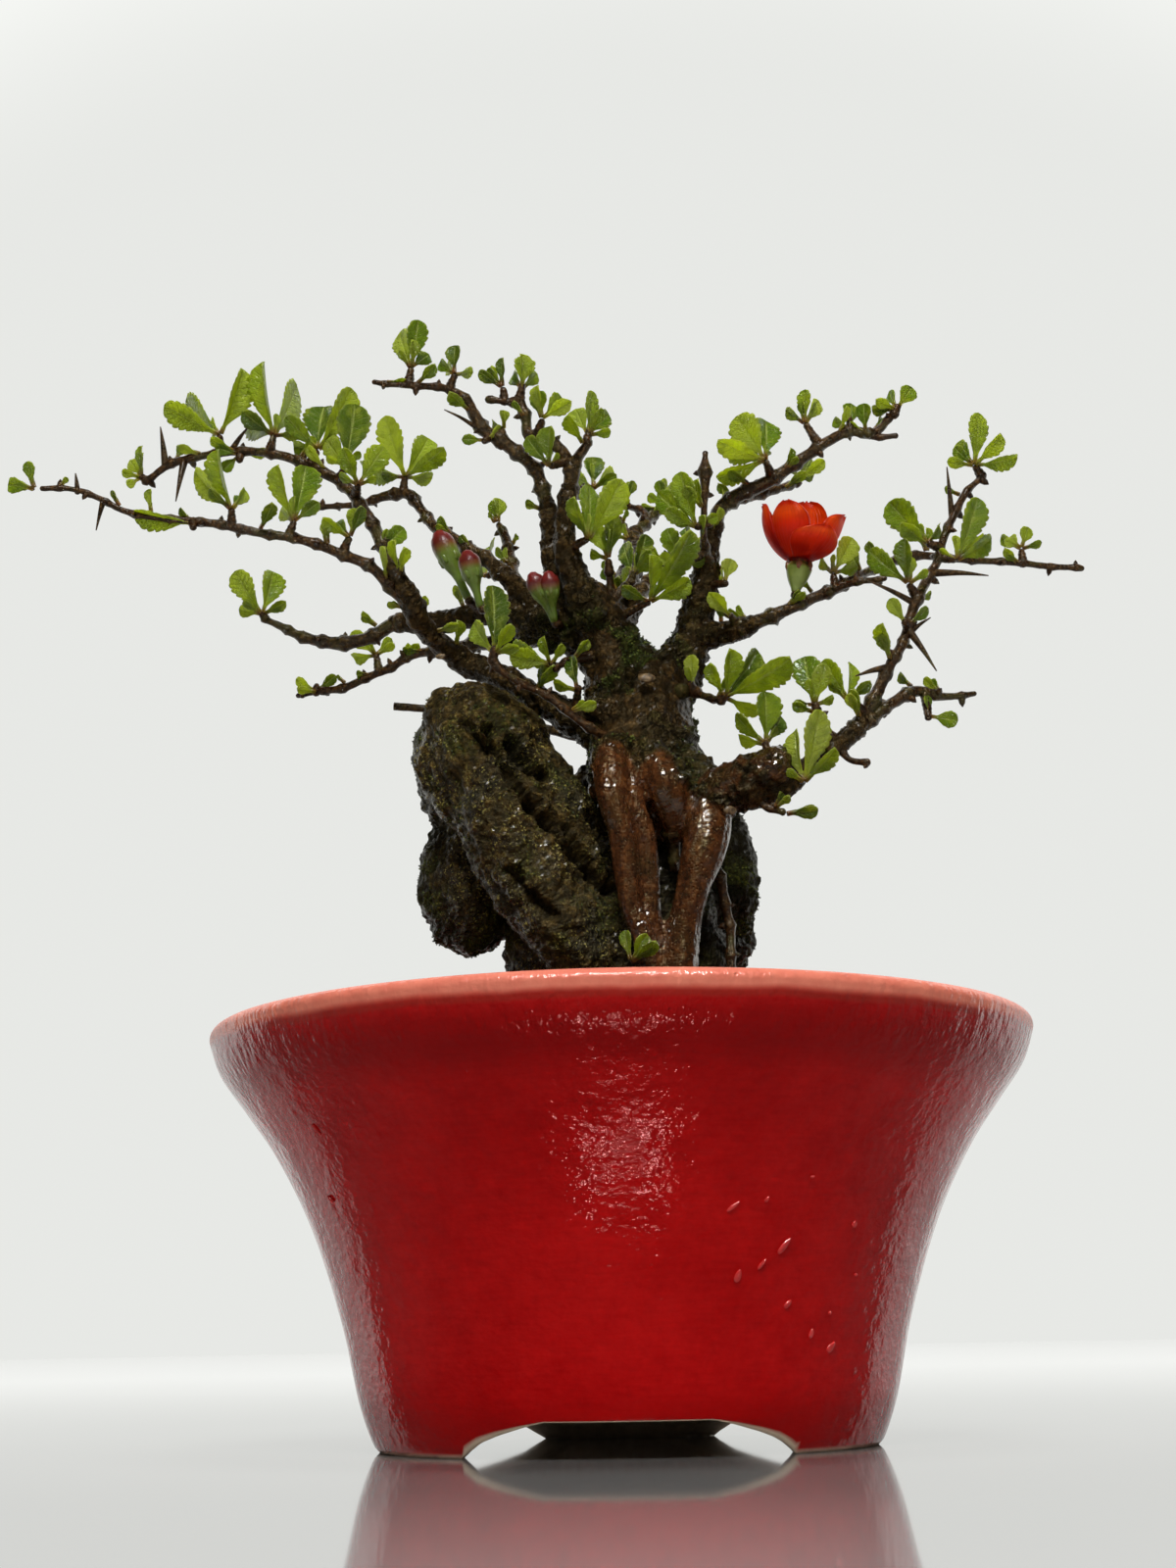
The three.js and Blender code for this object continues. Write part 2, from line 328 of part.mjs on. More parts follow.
// The pot: a turned shell with three cloud-shaped arches cut through its foot
function flareAt(steps) {
  return new THREE.SplineCurve(FLARE.map(([r, z]) => new THREE.Vector2(r, z))).getPoints(steps);
}

function innerWall(inset, lowest) {
  const flare = flareAt(FLARE_STEPS);
  const inner = flare.map((point, k) => {
    const before = flare[Math.max(k - 1, 0)];
    const after = flare[Math.min(k + 1, flare.length - 1)];
    const along = after.clone().sub(before).normalize();
    return new THREE.Vector2(point.x - along.y * inset, point.y + along.x * inset);
  });
  return inner.filter((point) => point.y > lowest + 1);
}

function turned(profile) {
  return solidOf(new THREE.LatheGeometry(profile, ROUND).rotateX(Math.PI / 2));
}

function footArch(turn) {
  const { halfWidth, halfCrown, height, inner, outer } = ARCH;
  const shape = new THREE.Shape();
  shape.moveTo(-halfWidth, -1);
  shape.lineTo(-halfWidth + 1, 0.6);
  shape.quadraticCurveTo(-halfCrown - 4, height * 0.6, -halfCrown, height * 0.82);
  shape.lineTo(-halfCrown + 4, height);
  shape.lineTo(halfCrown - 4, height);
  shape.lineTo(halfCrown, height * 0.82);
  shape.quadraticCurveTo(halfCrown + 4, height * 0.6, halfWidth - 1, 0.6);
  shape.lineTo(halfWidth, -1);
  const geometry = new THREE.ExtrudeGeometry(shape, { depth: outer - inner, bevelEnabled: false, curveSegments: 3 });
  geometry.rotateX(Math.PI / 2);
  geometry.translate(0, -inner, 0);
  geometry.rotateZ(turn);
  return solidOf(geometry);
}

function makePot() {
  const at = (r, z) => new THREE.Vector2(r, z);
  const inner = innerWall(WALL, FLOOR_TOP).reverse();
  const floorEdge = inner.at(-1).x - 1.5;
  const profile = [
    at(DRAIN_RADIUS, FLOOR_UNDER), at(FOOT_INNER - 1, FLOOR_UNDER), at(FOOT_INNER, FLOOR_UNDER - 1),
    at(FOOT_INNER, 0), at(FLARE[0][0] - 0.7, 0), ...flareAt(FLARE_STEPS),
    at(...LIP.outer), at(...LIP.crown), at(...LIP.inner), ...inner,
    at(floorEdge, FLOOR_TOP), at(DRAIN_RADIUS, FLOOR_TOP), at(DRAIN_RADIUS, FLOOR_UNDER),
  ];
  let pot = turned(profile);
  for (let k = 0; k < ARCH.count; k++) {
    pot = pot.subtract(footArch((2 * Math.PI * k) / ARCH.count));
  }
  return mainBody(pot);
}

function block(low, high) {
  const size = vec(high).sub(vec(low));
  const centre = vec(high).add(vec(low)).multiplyScalar(0.5);
  return solidOf(new THREE.BoxGeometry(size.x, size.y, size.z).translate(centre.x, centre.y, centre.z));
}

// A small plastic mesh over the drain hole
function makeDrainMesh() {
  const half = MESH.side / 2;
  const low = FLOOR_TOP + GAP;
  let plate = block([-half, -half, low], [half, half, low + MESH.thick]);
  const first = (-(MESH.holes - 1) * MESH.pitch - MESH.hole) / 2;
  for (let i = 0; i < MESH.holes; i++) {
    for (let j = 0; j < MESH.holes; j++) {
      const x = first + i * MESH.pitch;
      const y = first + j * MESH.pitch;
      plate = plate.subtract(block([x, y, low - 1], [x + MESH.hole, y + MESH.hole, low + MESH.thick + 1]));
    }
  }
  return plate;
}

// Uneven height by place, from -1 to 1
function unevenness(x, y, z, scale) {
  const a = Math.sin(x / scale + 1.3 * Math.sin(y / scale + 0.7) + 0.9 * Math.cos(z / scale));
  const b = Math.sin(y / (0.53 * scale) + 1.1 * Math.cos(z / (0.61 * scale) + 2) + x / (0.8 * scale));
  const c = Math.cos(z / (0.37 * scale) + 1.7 * Math.sin(x / (0.45 * scale) - y / (0.5 * scale)));
  return 0.5 * a + 0.3 * b + 0.2 * c;
}

// The rock: lobes joined and cut flat at the bottom
function makeLobe({ at, half, lean, detail }, grow) {
  const geometry = new THREE.IcosahedronGeometry(1, detail);
  const position = geometry.attributes.position;
  const [across, deep, along] = half;
  for (let i = 0; i < position.count; i++) {
    const [x, y, z] = [position.getX(i), position.getY(i), position.getZ(i)];
    const swell = 1 + CRAG * unevenness(x * across + at[0], y * deep + at[1], z * along + at[2], 5.5);
    position.setXYZ(i, x * (across * swell + grow), y * (deep * swell + grow), z * (along * swell + grow));
  }
  geometry.rotateY(rad(lean));
  geometry.translate(...at);
  return solidOf(geometry);
}

function makeRock(grow, wood) {
  const lobes = joined(LOBES.map((lobe) => makeLobe(lobe, grow)));
  const under = block([-60, -60, 0], [60, 60, ROCK_BASE - grow]);
  const rock = lobes.subtract(under);
  return mainBody(wood ? rock.subtract(wood) : rock);
}

// The soil: a turned plug with a grainy top, and plain holes where the rock and the roots go in
function makeSoil(rock, wood, drain) {
  const at = (r, z) => new THREE.Vector2(r, z);
  const whole = innerWall(WALL + GAP, FLOOR_TOP);
  const wall = whole.filter((point) => point.y < SOIL.edge);
  const [below, above] = [wall.at(-1), whole[wall.length]];
  const edge = THREE.MathUtils.mapLinear(SOIL.edge, below.y, above.y, below.x, above.x);
  const rings = [0.9, 0.76, 0.6, 0.42, 0.2];
  const top = rings.map((share) => at(edge * share, SOIL.edge + (SOIL.crown - SOIL.edge) * (1 - share * share)));
  const profile = [
    at(0, FLOOR_TOP + GAP), at(wall[0].x - 1.5, FLOOR_TOP + GAP), ...wall, at(edge, SOIL.edge), ...top,
    at(0, SOIL.crown),
  ];
  const geometry = new THREE.LatheGeometry(profile, ROUND).rotateX(Math.PI / 2);
  const position = geometry.attributes.position;
  for (let i = 0; i < position.count; i++) {
    const [x, y, z] = [position.getX(i), position.getY(i), position.getZ(i)];
    if (z > SOIL.edge && Math.hypot(x, y) > 1) {
      position.setZ(i, z + SOIL.grain * unevenness(x * 1.3, y * 1.3, 0, 2.5));
    }
  }
  const half = MESH.side / 2 + GAP;
  const over = FLOOR_TOP + MESH.thick + 2 * GAP;
  const bed = block([-half, -half, 0], [half, half, over]);
  return mainBody(solidOf(geometry).subtract(rock).subtract(wood).subtract(bed));
}

// The nearest point of the wood, with the limb's radius there, which is none past its flat end
function nearestWood(point) {
  let best = null;
  for (const path of LIMBS) {
    for (let k = 1; k < path.length; k++) {
      const from = vec(path[k - 1]);
      const step = vec(path[k]).sub(from);
      const share = THREE.MathUtils.clamp(point.clone().sub(from).dot(step) / step.lengthSq(), 0, 1);
      const place = from.addScaledVector(step, share);
      const ended = share === 1 && k === path.length - 1;
      const radius = ended ? 0 : THREE.MathUtils.lerp(path[k - 1][3], path[k][3], share);
      const away = place.distanceTo(point) - radius;
      if (!best || away < best.away) {
        best = { away, place, radius };
      }
    }
  }
  return best;
}

// A short spur of wood out to the foot of a rosette, which starts a gap beyond it
function spur(tip, grow) {
  const { place } = nearestWood(vec(tip));
  return bar([[...place.toArray(), 1 + grow], [...tip, 0.75 + grow]], 3);
}

function thorn([from, to, radius], grow) {
  return bar([[...from, radius + grow], [...to, THORN_TIP + grow]], 3);
}

// Leaf shapes by least length: shares of the length, and how far the edge steps out or in there
const LEAF_SHAPES = [
  { from: 9.7, stations: [0.22, 0.46, 0.62, 0.76, 0.89], teeth: [0, 0, 0.08, -0.07, 0.12] },
  { from: 6.2, stations: [0.24, 0.56, 0.8], teeth: [0, 0, 0.08] },
  { from: 0, stations: [0.26, 0.7], teeth: [0, 0] },
];

function leafOutline(share) {
  return Math.sin(Math.PI * Math.pow(share, 1.8));
}

function leafDirection(lean, turn) {
  const flat = Math.cos(rad(turn));
  return new THREE.Vector3(Math.sin(rad(lean)) * flat, Math.sin(rad(turn)), Math.cos(rad(lean)) * flat);
}

// The rings of one leaf past its root: left and right on the upper face, then on the lower face, and the tip's two
// points. The blade is narrow at its foot, broad and toothed above, and arches backwards.
function leafRings(root, [lean, seenLength, seenWidth, turn], start) {
  const length = seenLength / Math.cos(rad(turn));
  const along = leafDirection(lean, turn);
  const width = Math.max(BROAD * length, seenWidth);
  const roll = Math.acos(Math.min(1, seenWidth / width)) * (lean > 0 ? 1 : -1);
  const front = new THREE.Vector3(0, -1, 0);
  const face = front.addScaledVector(along, -front.dot(along)).normalize().applyAxisAngle(along, roll);
  const side = along.clone().cross(face);
  const { stations, teeth } = LEAF_SHAPES.find(({ from }) => length >= from);
  const point = (share, sideways, up) => root.clone()
    .addScaledVector(along, start + share * (length - start))
    .addScaledVector(face, up - ARCHED * length * share * share)
    .addScaledVector(side, sideways)
    .toArray();
  const rings = stations.map((share, k) => {
    const half = Math.max(PETIOLE, (width / 2) * leafOutline(share) * (1 + teeth[k]));
    return [
      point(share, -half, BLADE / 2), point(share, half, BLADE / 2),
      point(share, -half, -BLADE / 2), point(share, half, -BLADE / 2),
    ];
  });
  return { rings, tip: [point(1, 0, BLADE / 2), point(1, 0, -BLADE / 2)] };
}

// A rosette as one closed skin: a small palm at the root, with the leaves growing from its rim side by side
const PALM = { radius: 2, thick: 0.7, most: 14 }; // the last is half of the widest angle that one leaf takes there

function rosette([tip, ...specs], offset) {
  const { place, radius, away } = nearestWood(vec(tip));
  const out = vec(tip).sub(place).normalize();
  const seat = away > SPUR_LEAST ? vec(tip) : place.addScaledVector(out, radius);
  const root = seat.addScaledVector(out, offset);
  const leaves = [...specs].sort((a, b) => a[0] - b[0]);
  const corners = [];
  const faces = [];
  const add = (p) => corners.push(p) - 1;
  const onPalm = (lean, up) => {
    const along = leafDirection(lean, 0);
    return add([root.x + along.x * PALM.radius, root.y - up, root.z + along.z * PALM.radius]);
  };
  const edge = (lean) => [onPalm(lean, PALM.thick / 2), onPalm(lean, -PALM.thick / 2)];
  const wall = ([a, c], [b, d]) => faces.push([a, c, d], [a, d, b]);
  const hub = [add([root.x, root.y - PALM.thick / 2, root.z]), add([root.x, root.y + PALM.thick / 2, root.z])];
  const palm = (left, right) => faces.push([hub[0], right[0], left[0]], [hub[1], left[1], right[1]]);
  let last = null;
  leaves.forEach((spec, k) => {
    const before = k > 0 ? (spec[0] - leaves[k - 1][0]) / 2 : PALM.most;
    const after = k < leaves.length - 1 ? (leaves[k + 1][0] - spec[0]) / 2 : PALM.most;
    const shared = k > 0 && before < PALM.most;
    const left = shared ? last : edge(spec[0] - Math.min(before, PALM.most));
    if (k === 0) {
      wall(left, hub);
    } else if (!shared) {
      palm(last, left);
      wall(left, last);
    }
    const right = edge(spec[0] + Math.min(after, PALM.most));
    palm(left, right);
    const { rings, tip: point } = leafRings(root, spec, PALM.radius);
    let ring = [left[0], right[0], left[1], right[1]];
    for (const next of rings.map((points) => points.map(add))) {
      const [a, b, c, d] = ring;
      const [e, f, g, h] = next;
      faces.push([a, b, f], [a, f, e], [c, h, d], [c, g, h], [d, h, f], [d, f, b], [g, c, a], [g, a, e]);
      ring = next;
    }
    const [a, b, c, d] = ring;
    const [over, under] = point.map(add);
    faces.push([a, b, over], [c, under, d], [d, under, over], [d, over, b], [under, c, a], [under, a, over]);
    last = right;
  });
  wall(hub, last);
  const geometry = new THREE.BufferGeometry();
  geometry.setAttribute("position", new THREE.BufferAttribute(new Float32Array(corners.flat()), 3));
  geometry.setIndex(faces.flat());
  return solidOf(geometry);
}

// All the wood, each radius larger by grow
function makeWood(grow) {
  const limbs = LIMBS.map((path) => bar(path.map(([x, y, z, r]) => [x, y, z, r + grow]), sidesFor(path)));
  const tips = [...Object.values(ROSETTES), ...SMALL_LEAVES].map(([tip]) => tip);
  const spurs = tips.filter((tip) => nearestWood(vec(tip)).away > SPUR_LEAST).map((tip) => spur(tip, grow));
  const thorns = THORNS.map((spec) => thorn(spec, grow));
  return joined([...limbs, ...spurs, ...thorns]);
}

// The flower: five cupped petals on a small disc, a calyx below and stamens inside
function placedOnFlower(geometry, lift) {
  geometry.rotateY(rad(FLOWER.lean));
  geometry.translate(FLOWER.base[0], FLOWER.base[1], FLOWER.base[2] + lift);
  return solidOf(geometry);
}

function petal(turn, size) {
  const across = 3;
  const up = 4;
  const inner = [];
  const outer = [];
  for (let j = 0; j <= up; j++) {
    for (let i = 0; i <= across; i++) {
      const u = (2 * i) / across - 1;
      const v = j / up;
      const spread = rad(44) * Math.pow(Math.sin(Math.PI * (0.12 + 0.66 * v)), 0.7);
      const angle = turn + u * spread;
      const height = FLOWER.height * size * (v - 0.16 * v * v * u * u);
      const radius = 1.2 + (FLOWER.radius - 1.2) * Math.sin((Math.PI / 2) * Math.pow(v, 0.62)) - 0.9 * v * v * v;
      for (const [side, grid] of [[-1, inner], [1, outer]]) {
        const r = radius + side * 0.35 + 0.52 * u;
        grid.push([r * Math.cos(angle), r * Math.sin(angle), height - side * 0.3 * (1 - v)]);
      }
    }
  }
  const row = across + 1;
  const count = row * (up + 1);
  const faces = [];
  const quad = (a, b, c, d) => faces.push([a, b, c], [a, c, d]);
  for (let j = 0; j < up; j++) {
    for (let i = 0; i < across; i++) {
      const k = j * row + i;
      quad(count + k, count + k + 1, count + k + row + 1, count + k + row);
      faces.push([k, k + row + 1, k + 1], [k, k + row, k + row + 1]);
    }
  }
  for (let i = 0; i < across; i++) {
    const k = up * row + i;
    quad(i, i + 1, count + i + 1, count + i);
    quad(k + 1, k, count + k, count + k + 1);
  }
  for (let j = 0; j < up; j++) {
    const k = j * row;
    const m = k + across;
    quad(k + row, k, count + k, count + k + row);
    quad(m, m + row, count + m + row, count + m);
  }
  const geometry = new THREE.BufferGeometry();
  geometry.setAttribute("position", new THREE.BufferAttribute(new Float32Array([...inner, ...outer].flat()), 3));
  geometry.setIndex(faces.flat());
  return geometry;
}

function makePetals() {
  const sizes = [1, 0.94, 1.03, 0.97, 0.92];
  const petals = sizes.map((size, k) => placedOnFlower(petal((2 * Math.PI * k) / FLOWER.petals + 0.3, size), 0));
  const disc = new THREE.CylinderGeometry(2.4, 1.7, 1, 12).rotateX(Math.PI / 2);
  return joined([...petals, placedOnFlower(disc, 0)]);
}

function makeCalyx() {
  const foot = vec(CALYX_FOOT);
  const top = vec(FLOWER.base);
  top.z -= 1 + GAP;
  const at = (share, radius) => {
    const point = foot.clone().lerp(top, share);
    return [point.x, point.y, point.z, radius];
  };
  return bar([at(0.1, 0.9), at(0.3, 1.7), at(0.62, 2.4), at(0.85, 2.7), at(1, 2.3)], 10);
}

function makeStamens() {
  const parts = [new THREE.CylinderGeometry(1.05, 1.05, 0.9, 8).rotateX(Math.PI / 2)];
  for (let k = 0; k < STAMENS; k++) {
    const angle = k * 2.4;
    const lean = k === 0 ? 0 : rad(14 + 2.5 * (k % 4));
    const height = 4.6 + 0.5 * (k % 3);
    const filament = new THREE.CylinderGeometry(0.3, 0.3, height, 3).translate(0, height / 2, 0);
    const anther = new THREE.OctahedronGeometry(0.62).translate(0, height, 0);
    for (const piece of [filament, anther]) {
      parts.push(piece.rotateX(Math.PI / 2).rotateY(lean).rotateZ(angle));
    }
  }
  return joined(parts.map((geometry) => placedOnFlower(geometry, 0.5 + GAP + 0.45)));
}

// A bud: a narrow green foot, a gap above its spur, that swells into a closed dome
function bud([foot, top, radius]) {
  const start = (2.2 * GAP) / vec(foot).distanceTo(vec(top));
  const shares = [[start, 0.4], [0.3, 0.52], [0.6, 0.86], [0.8, 1], [0.93, 0.8], [1, 0.35]];
  return bar(shares.map(([share, part]) => {
    const point = vec(foot).lerp(vec(top), share);
    return [point.x, point.y, point.z, radius * part];
  }), 8);
}

function makeBudPair() {
  const buds = BUD_PAIR.tops.map((top) => bud([BUD_PAIR.foot, top, BUD_PAIR.radius]));
  return joined(buds);
}

// Everything together
const bonsai = new THREE.Group();
bonsai.position.x = POT_AXIS;
const budFeet = [...Object.values(BUDS).map(([foot]) => foot), BUD_PAIR.foot, CALYX_FOOT];
const bareWood = makeWood(0).add(joined(budFeet.map((foot) => spur(foot, 0))));
const grownWood = makeWood(GAP);
const smallLeaves = SMALL_LEAVES.map((spec) => rosette(spec, -SUNK));
const tree = mainBody(bareWood.add(joined(smallLeaves)));
const rock = makeRock(0, grownWood);
bonsai.add(
  meshOf("pot", makePot(), MATERIALS.pot),
  meshOf("drain_mesh", makeDrainMesh(), MATERIALS.drain),
  meshOf("soil", makeSoil(makeRock(GAP, null), grownWood), MATERIALS.soil),
  meshOf("rock", rock, MATERIALS.rock),
  meshOf("tree", tree, MATERIALS.wood),
);
for (const [name, spec] of Object.entries(ROSETTES)) {
  bonsai.add(meshOf(name, rosette(spec, GAP + PALM.thick / 2), MATERIALS.leaf));
}
bonsai.add(
  meshOf("flower_petals", makePetals(), MATERIALS.petal),
  meshOf("flower_calyx", makeCalyx(), MATERIALS.calyx),
  meshOf("flower_stamens", makeStamens(), MATERIALS.stamen),
  meshOf("bud_pair", makeBudPair(), MATERIALS.bud),
);
for (const [name, spec] of Object.entries(BUDS)) {
  bonsai.add(meshOf(name, bud(spec), MATERIALS.bud));
}

const placed = new THREE.Group();
placed.add(bonsai);

export default placed;
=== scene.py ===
"""A flowering quince grown over a rock, in a round pot with a red glaze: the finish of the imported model.

The tables hold millimetres from the pot's axis and from the floor.
Each mesh is made in metres where the model lies.
"""
import math
import random

import bmesh
import bpy
import numpy as np
from mathutils import Matrix, Vector, noise
from mathutils.kdtree import KDTree


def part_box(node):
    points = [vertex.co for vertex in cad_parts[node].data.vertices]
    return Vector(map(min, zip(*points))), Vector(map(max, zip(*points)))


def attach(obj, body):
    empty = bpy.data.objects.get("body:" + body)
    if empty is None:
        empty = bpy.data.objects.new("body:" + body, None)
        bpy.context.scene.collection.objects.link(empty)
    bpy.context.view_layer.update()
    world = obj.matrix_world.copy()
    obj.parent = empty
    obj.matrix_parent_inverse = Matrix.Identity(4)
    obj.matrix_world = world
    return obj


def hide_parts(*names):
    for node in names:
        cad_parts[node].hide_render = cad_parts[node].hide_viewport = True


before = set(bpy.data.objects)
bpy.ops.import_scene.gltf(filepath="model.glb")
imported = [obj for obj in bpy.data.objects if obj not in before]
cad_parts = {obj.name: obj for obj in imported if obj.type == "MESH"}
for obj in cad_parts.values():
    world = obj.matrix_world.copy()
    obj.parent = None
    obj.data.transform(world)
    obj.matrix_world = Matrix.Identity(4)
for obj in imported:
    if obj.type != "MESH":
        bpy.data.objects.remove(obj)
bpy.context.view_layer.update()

MM = 0.001
pot_low, pot_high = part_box("pot")
POT_AXIS = np.array([(pot_low.x + pot_high.x) / 2, (pot_low.y + pot_high.y) / 2, 0.0])


# Meshes

def in_metres(points):
    return np.asarray(points, dtype=float)[:, :3] * MM + POT_AXIS


def in_millimetres(mesh):
    """The corners of a mesh, in millimetres from the pot's axis"""
    flat = np.empty(len(mesh.vertices) * 3)
    mesh.vertices.foreach_get("co", flat)
    return (flat.reshape(-1, 3) - POT_AXIS) / MM


def normals_of(mesh):
    flat = np.empty(len(mesh.vertices) * 3)
    mesh.vertices.foreach_get("normal", flat)
    return flat.reshape(-1, 3)


def move_corners(mesh, points):
    mesh.vertices.foreach_set("co", in_metres(points).ravel())
    mesh.update()


def mark(mesh, name, values):
    """A number for each corner, which the material reads by its name"""
    layer = mesh.attributes.new(name, "FLOAT", "POINT")
    layer.data.foreach_set("value", np.asarray(values, dtype=np.float32))


def make_object(name, points, faces, finish=None):
    mesh = bpy.data.meshes.new(name)
    mesh.from_pydata(in_metres(points).tolist(), [], faces)
    mesh.validate()
    mesh.polygons.foreach_set("use_smooth", [True] * len(mesh.polygons))
    piece = bpy.data.objects.new(name, mesh)
    bpy.context.scene.collection.objects.link(piece)
    if finish:
        mesh.materials.append(finish)
    return piece


def dress(piece, slot, *nodes):
    """The piece stands for these nodes of the model, whose solids it hides; slot is not used"""
    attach(piece, "root")
    if nodes:
        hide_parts(*nodes)


def settle(piece):
    """The piece with its modifiers worked into its mesh"""
    shapes = bpy.context.evaluated_depsgraph_get()
    mesh = bpy.data.meshes.new_from_object(piece.evaluated_get(shapes))
    piece.modifiers.clear()
    piece.data = mesh
    mesh.name = piece.name
    return piece


def turned(profile, sides):
    """Corners and faces of a profile of radii and heights, turned about the axis and closed on itself"""
    angles = np.linspace(0, 2 * math.pi, sides, endpoint=False)
    radii, heights = np.array(profile, dtype=float).T
    x = np.outer(radii, np.cos(angles))
    y = np.outer(radii, np.sin(angles))
    z = np.repeat(heights[:, None], sides, axis=1)
    points = np.stack([x, y, z], axis=-1).reshape(-1, 3)
    faces = []
    rows = len(profile)
    for j in range(rows):
        for i in range(sides):
            a = j * sides + i
            b = j * sides + (i + 1) % sides
            c = (j + 1) % rows * sides + (i + 1) % sides
            d = (j + 1) % rows * sides + i
            faces.append((a, b, c, d))
    return points, faces


def face_outwards(piece):
    shape = bmesh.new()
    shape.from_mesh(piece.data)
    bmesh.ops.remove_doubles(shape, verts=shape.verts, dist=1e-7)
    bmesh.ops.recalc_face_normals(shape, faces=shape.faces)
    shape.to_mesh(piece.data)
    shape.free()


def soft_curve(points, step):
    """Samples about every step millimetres on a soft curve, with any 4th number carried along"""
    points = np.array(points, dtype=float)
    knots = np.vstack([2 * points[0] - points[1], points, 2 * points[-1] - points[-2]])
    samples = []
    for k in range(1, len(knots) - 2):
        p0, p1, p2, p3 = knots[k - 1:k + 3]
        spans = [max(np.linalg.norm((b - a)[:3]), 1e-6) ** 0.5 for a, b in ((p0, p1), (p1, p2), (p2, p3))]
        t1 = spans[0]
        t2 = t1 + spans[1]
        t3 = t2 + spans[2]
        count = max(1, round(np.linalg.norm((p2 - p1)[:3]) / step))
        for t in np.linspace(t1, t2, count, endpoint=False):
            a1 = (t1 - t) / t1 * p0 + t / t1 * p1
            a2 = (t2 - t) / (t2 - t1) * p1 + (t - t1) / (t2 - t1) * p2
            a3 = (t3 - t) / (t3 - t2) * p2 + (t - t2) / (t3 - t2) * p3
            b1 = (t2 - t) / t2 * a1 + t / t2 * a2
            b2 = (t3 - t) / (t3 - t1) * a2 + (t - t1) / (t3 - t1) * a3
            samples.append((t2 - t) / (t2 - t1) * b1 + (t - t1) / (t2 - t1) * b2)
    samples.append(points[-1])
    return np.array(samples)


def unit(vectors):
    vectors = np.asarray(vectors, dtype=float)
    return vectors / np.maximum(np.linalg.norm(vectors, axis=-1, keepdims=True), 1e-9)


def smooth_step(low, high, values):
    share = np.clip((np.asarray(values, dtype=float) - low) / (high - low), 0, 1)
    return share * share * (3 - 2 * share)


def rough(points, size, seed=0.0, octaves=3):
    """Soft noise from -1 to 1 at each point, with hills about this size in millimetres"""
    shift = Vector((seed * 17.3, seed * 9.1, seed * 5.7))
    return np.array([noise.fractal(Vector(p) / size + shift, 0.7, 2.1, octaves) for p in points])


# Node trees

class Signal:
    """A socket of a node tree, with plain arithmetic"""

    def __init__(self, board, socket):
        self.board = board
        self.socket = socket

    def maths(self, operation, first, second=0.0, clamp=False):
        settings = {"operation": operation, "use_clamp": clamp}
        return self.board.node("ShaderNodeMath", settings, {0: first, 1: second})

    def __add__(self, other):
        return self.maths("ADD", self, other)

    def __radd__(self, other):
        return self.maths("ADD", other, self)

    def __sub__(self, other):
        return self.maths("SUBTRACT", self, other)

    def __rsub__(self, other):
        return self.maths("SUBTRACT", other, self)

    def __mul__(self, other):
        return self.maths("MULTIPLY", self, other)

    def __rmul__(self, other):
        return self.maths("MULTIPLY", other, self)

    def __truediv__(self, other):
        return self.maths("DIVIDE", self, other)

    def __pow__(self, other):
        return self.maths("POWER", self, other)

    def at_most(self, other):
        return self.maths("MINIMUM", self, other)

    def between(self, low, high):
        """0 at low, 1 at high, and a smooth step between them"""
        settings = {"interpolation_type": "SMOOTHSTEP", "clamp": True}
        return self.board.node("ShaderNodeMapRange", settings, {0: self, 1: low, 2: high})


class Board:
    """A node tree in the making"""

    def __init__(self, tree):
        self.tree = tree

    def node(self, kind, settings=None, inputs=None, output=0):
        made = self.tree.nodes.new(kind)
        for name, value in (settings or {}).items():
            if name == "stops":
                ramp = made.color_ramp
                while len(ramp.elements) < len(value):
                    ramp.elements.new(0.5)
                for stop, (position, colour) in zip(ramp.elements, value):
                    stop.position = position
                    stop.color = colour
            else:
                setattr(made, name, value)
        for name, value in (inputs or {}).items():
            if isinstance(value, Signal):
                self.tree.links.new(value.socket, made.inputs[name])
            else:
                made.inputs[name].default_value = value
        return Signal(self, made.outputs[output]) if made.outputs else None


def colour(red, green, blue):
    """A colour of the screen, from 0 to 255, as the renderer counts it"""
    def linear(value):
        share = value / 255
        return share / 12.92 if share <= 0.04045 else ((share + 0.055) / 1.055) ** 2.4
    return (linear(red), linear(green), linear(blue), 1.0)


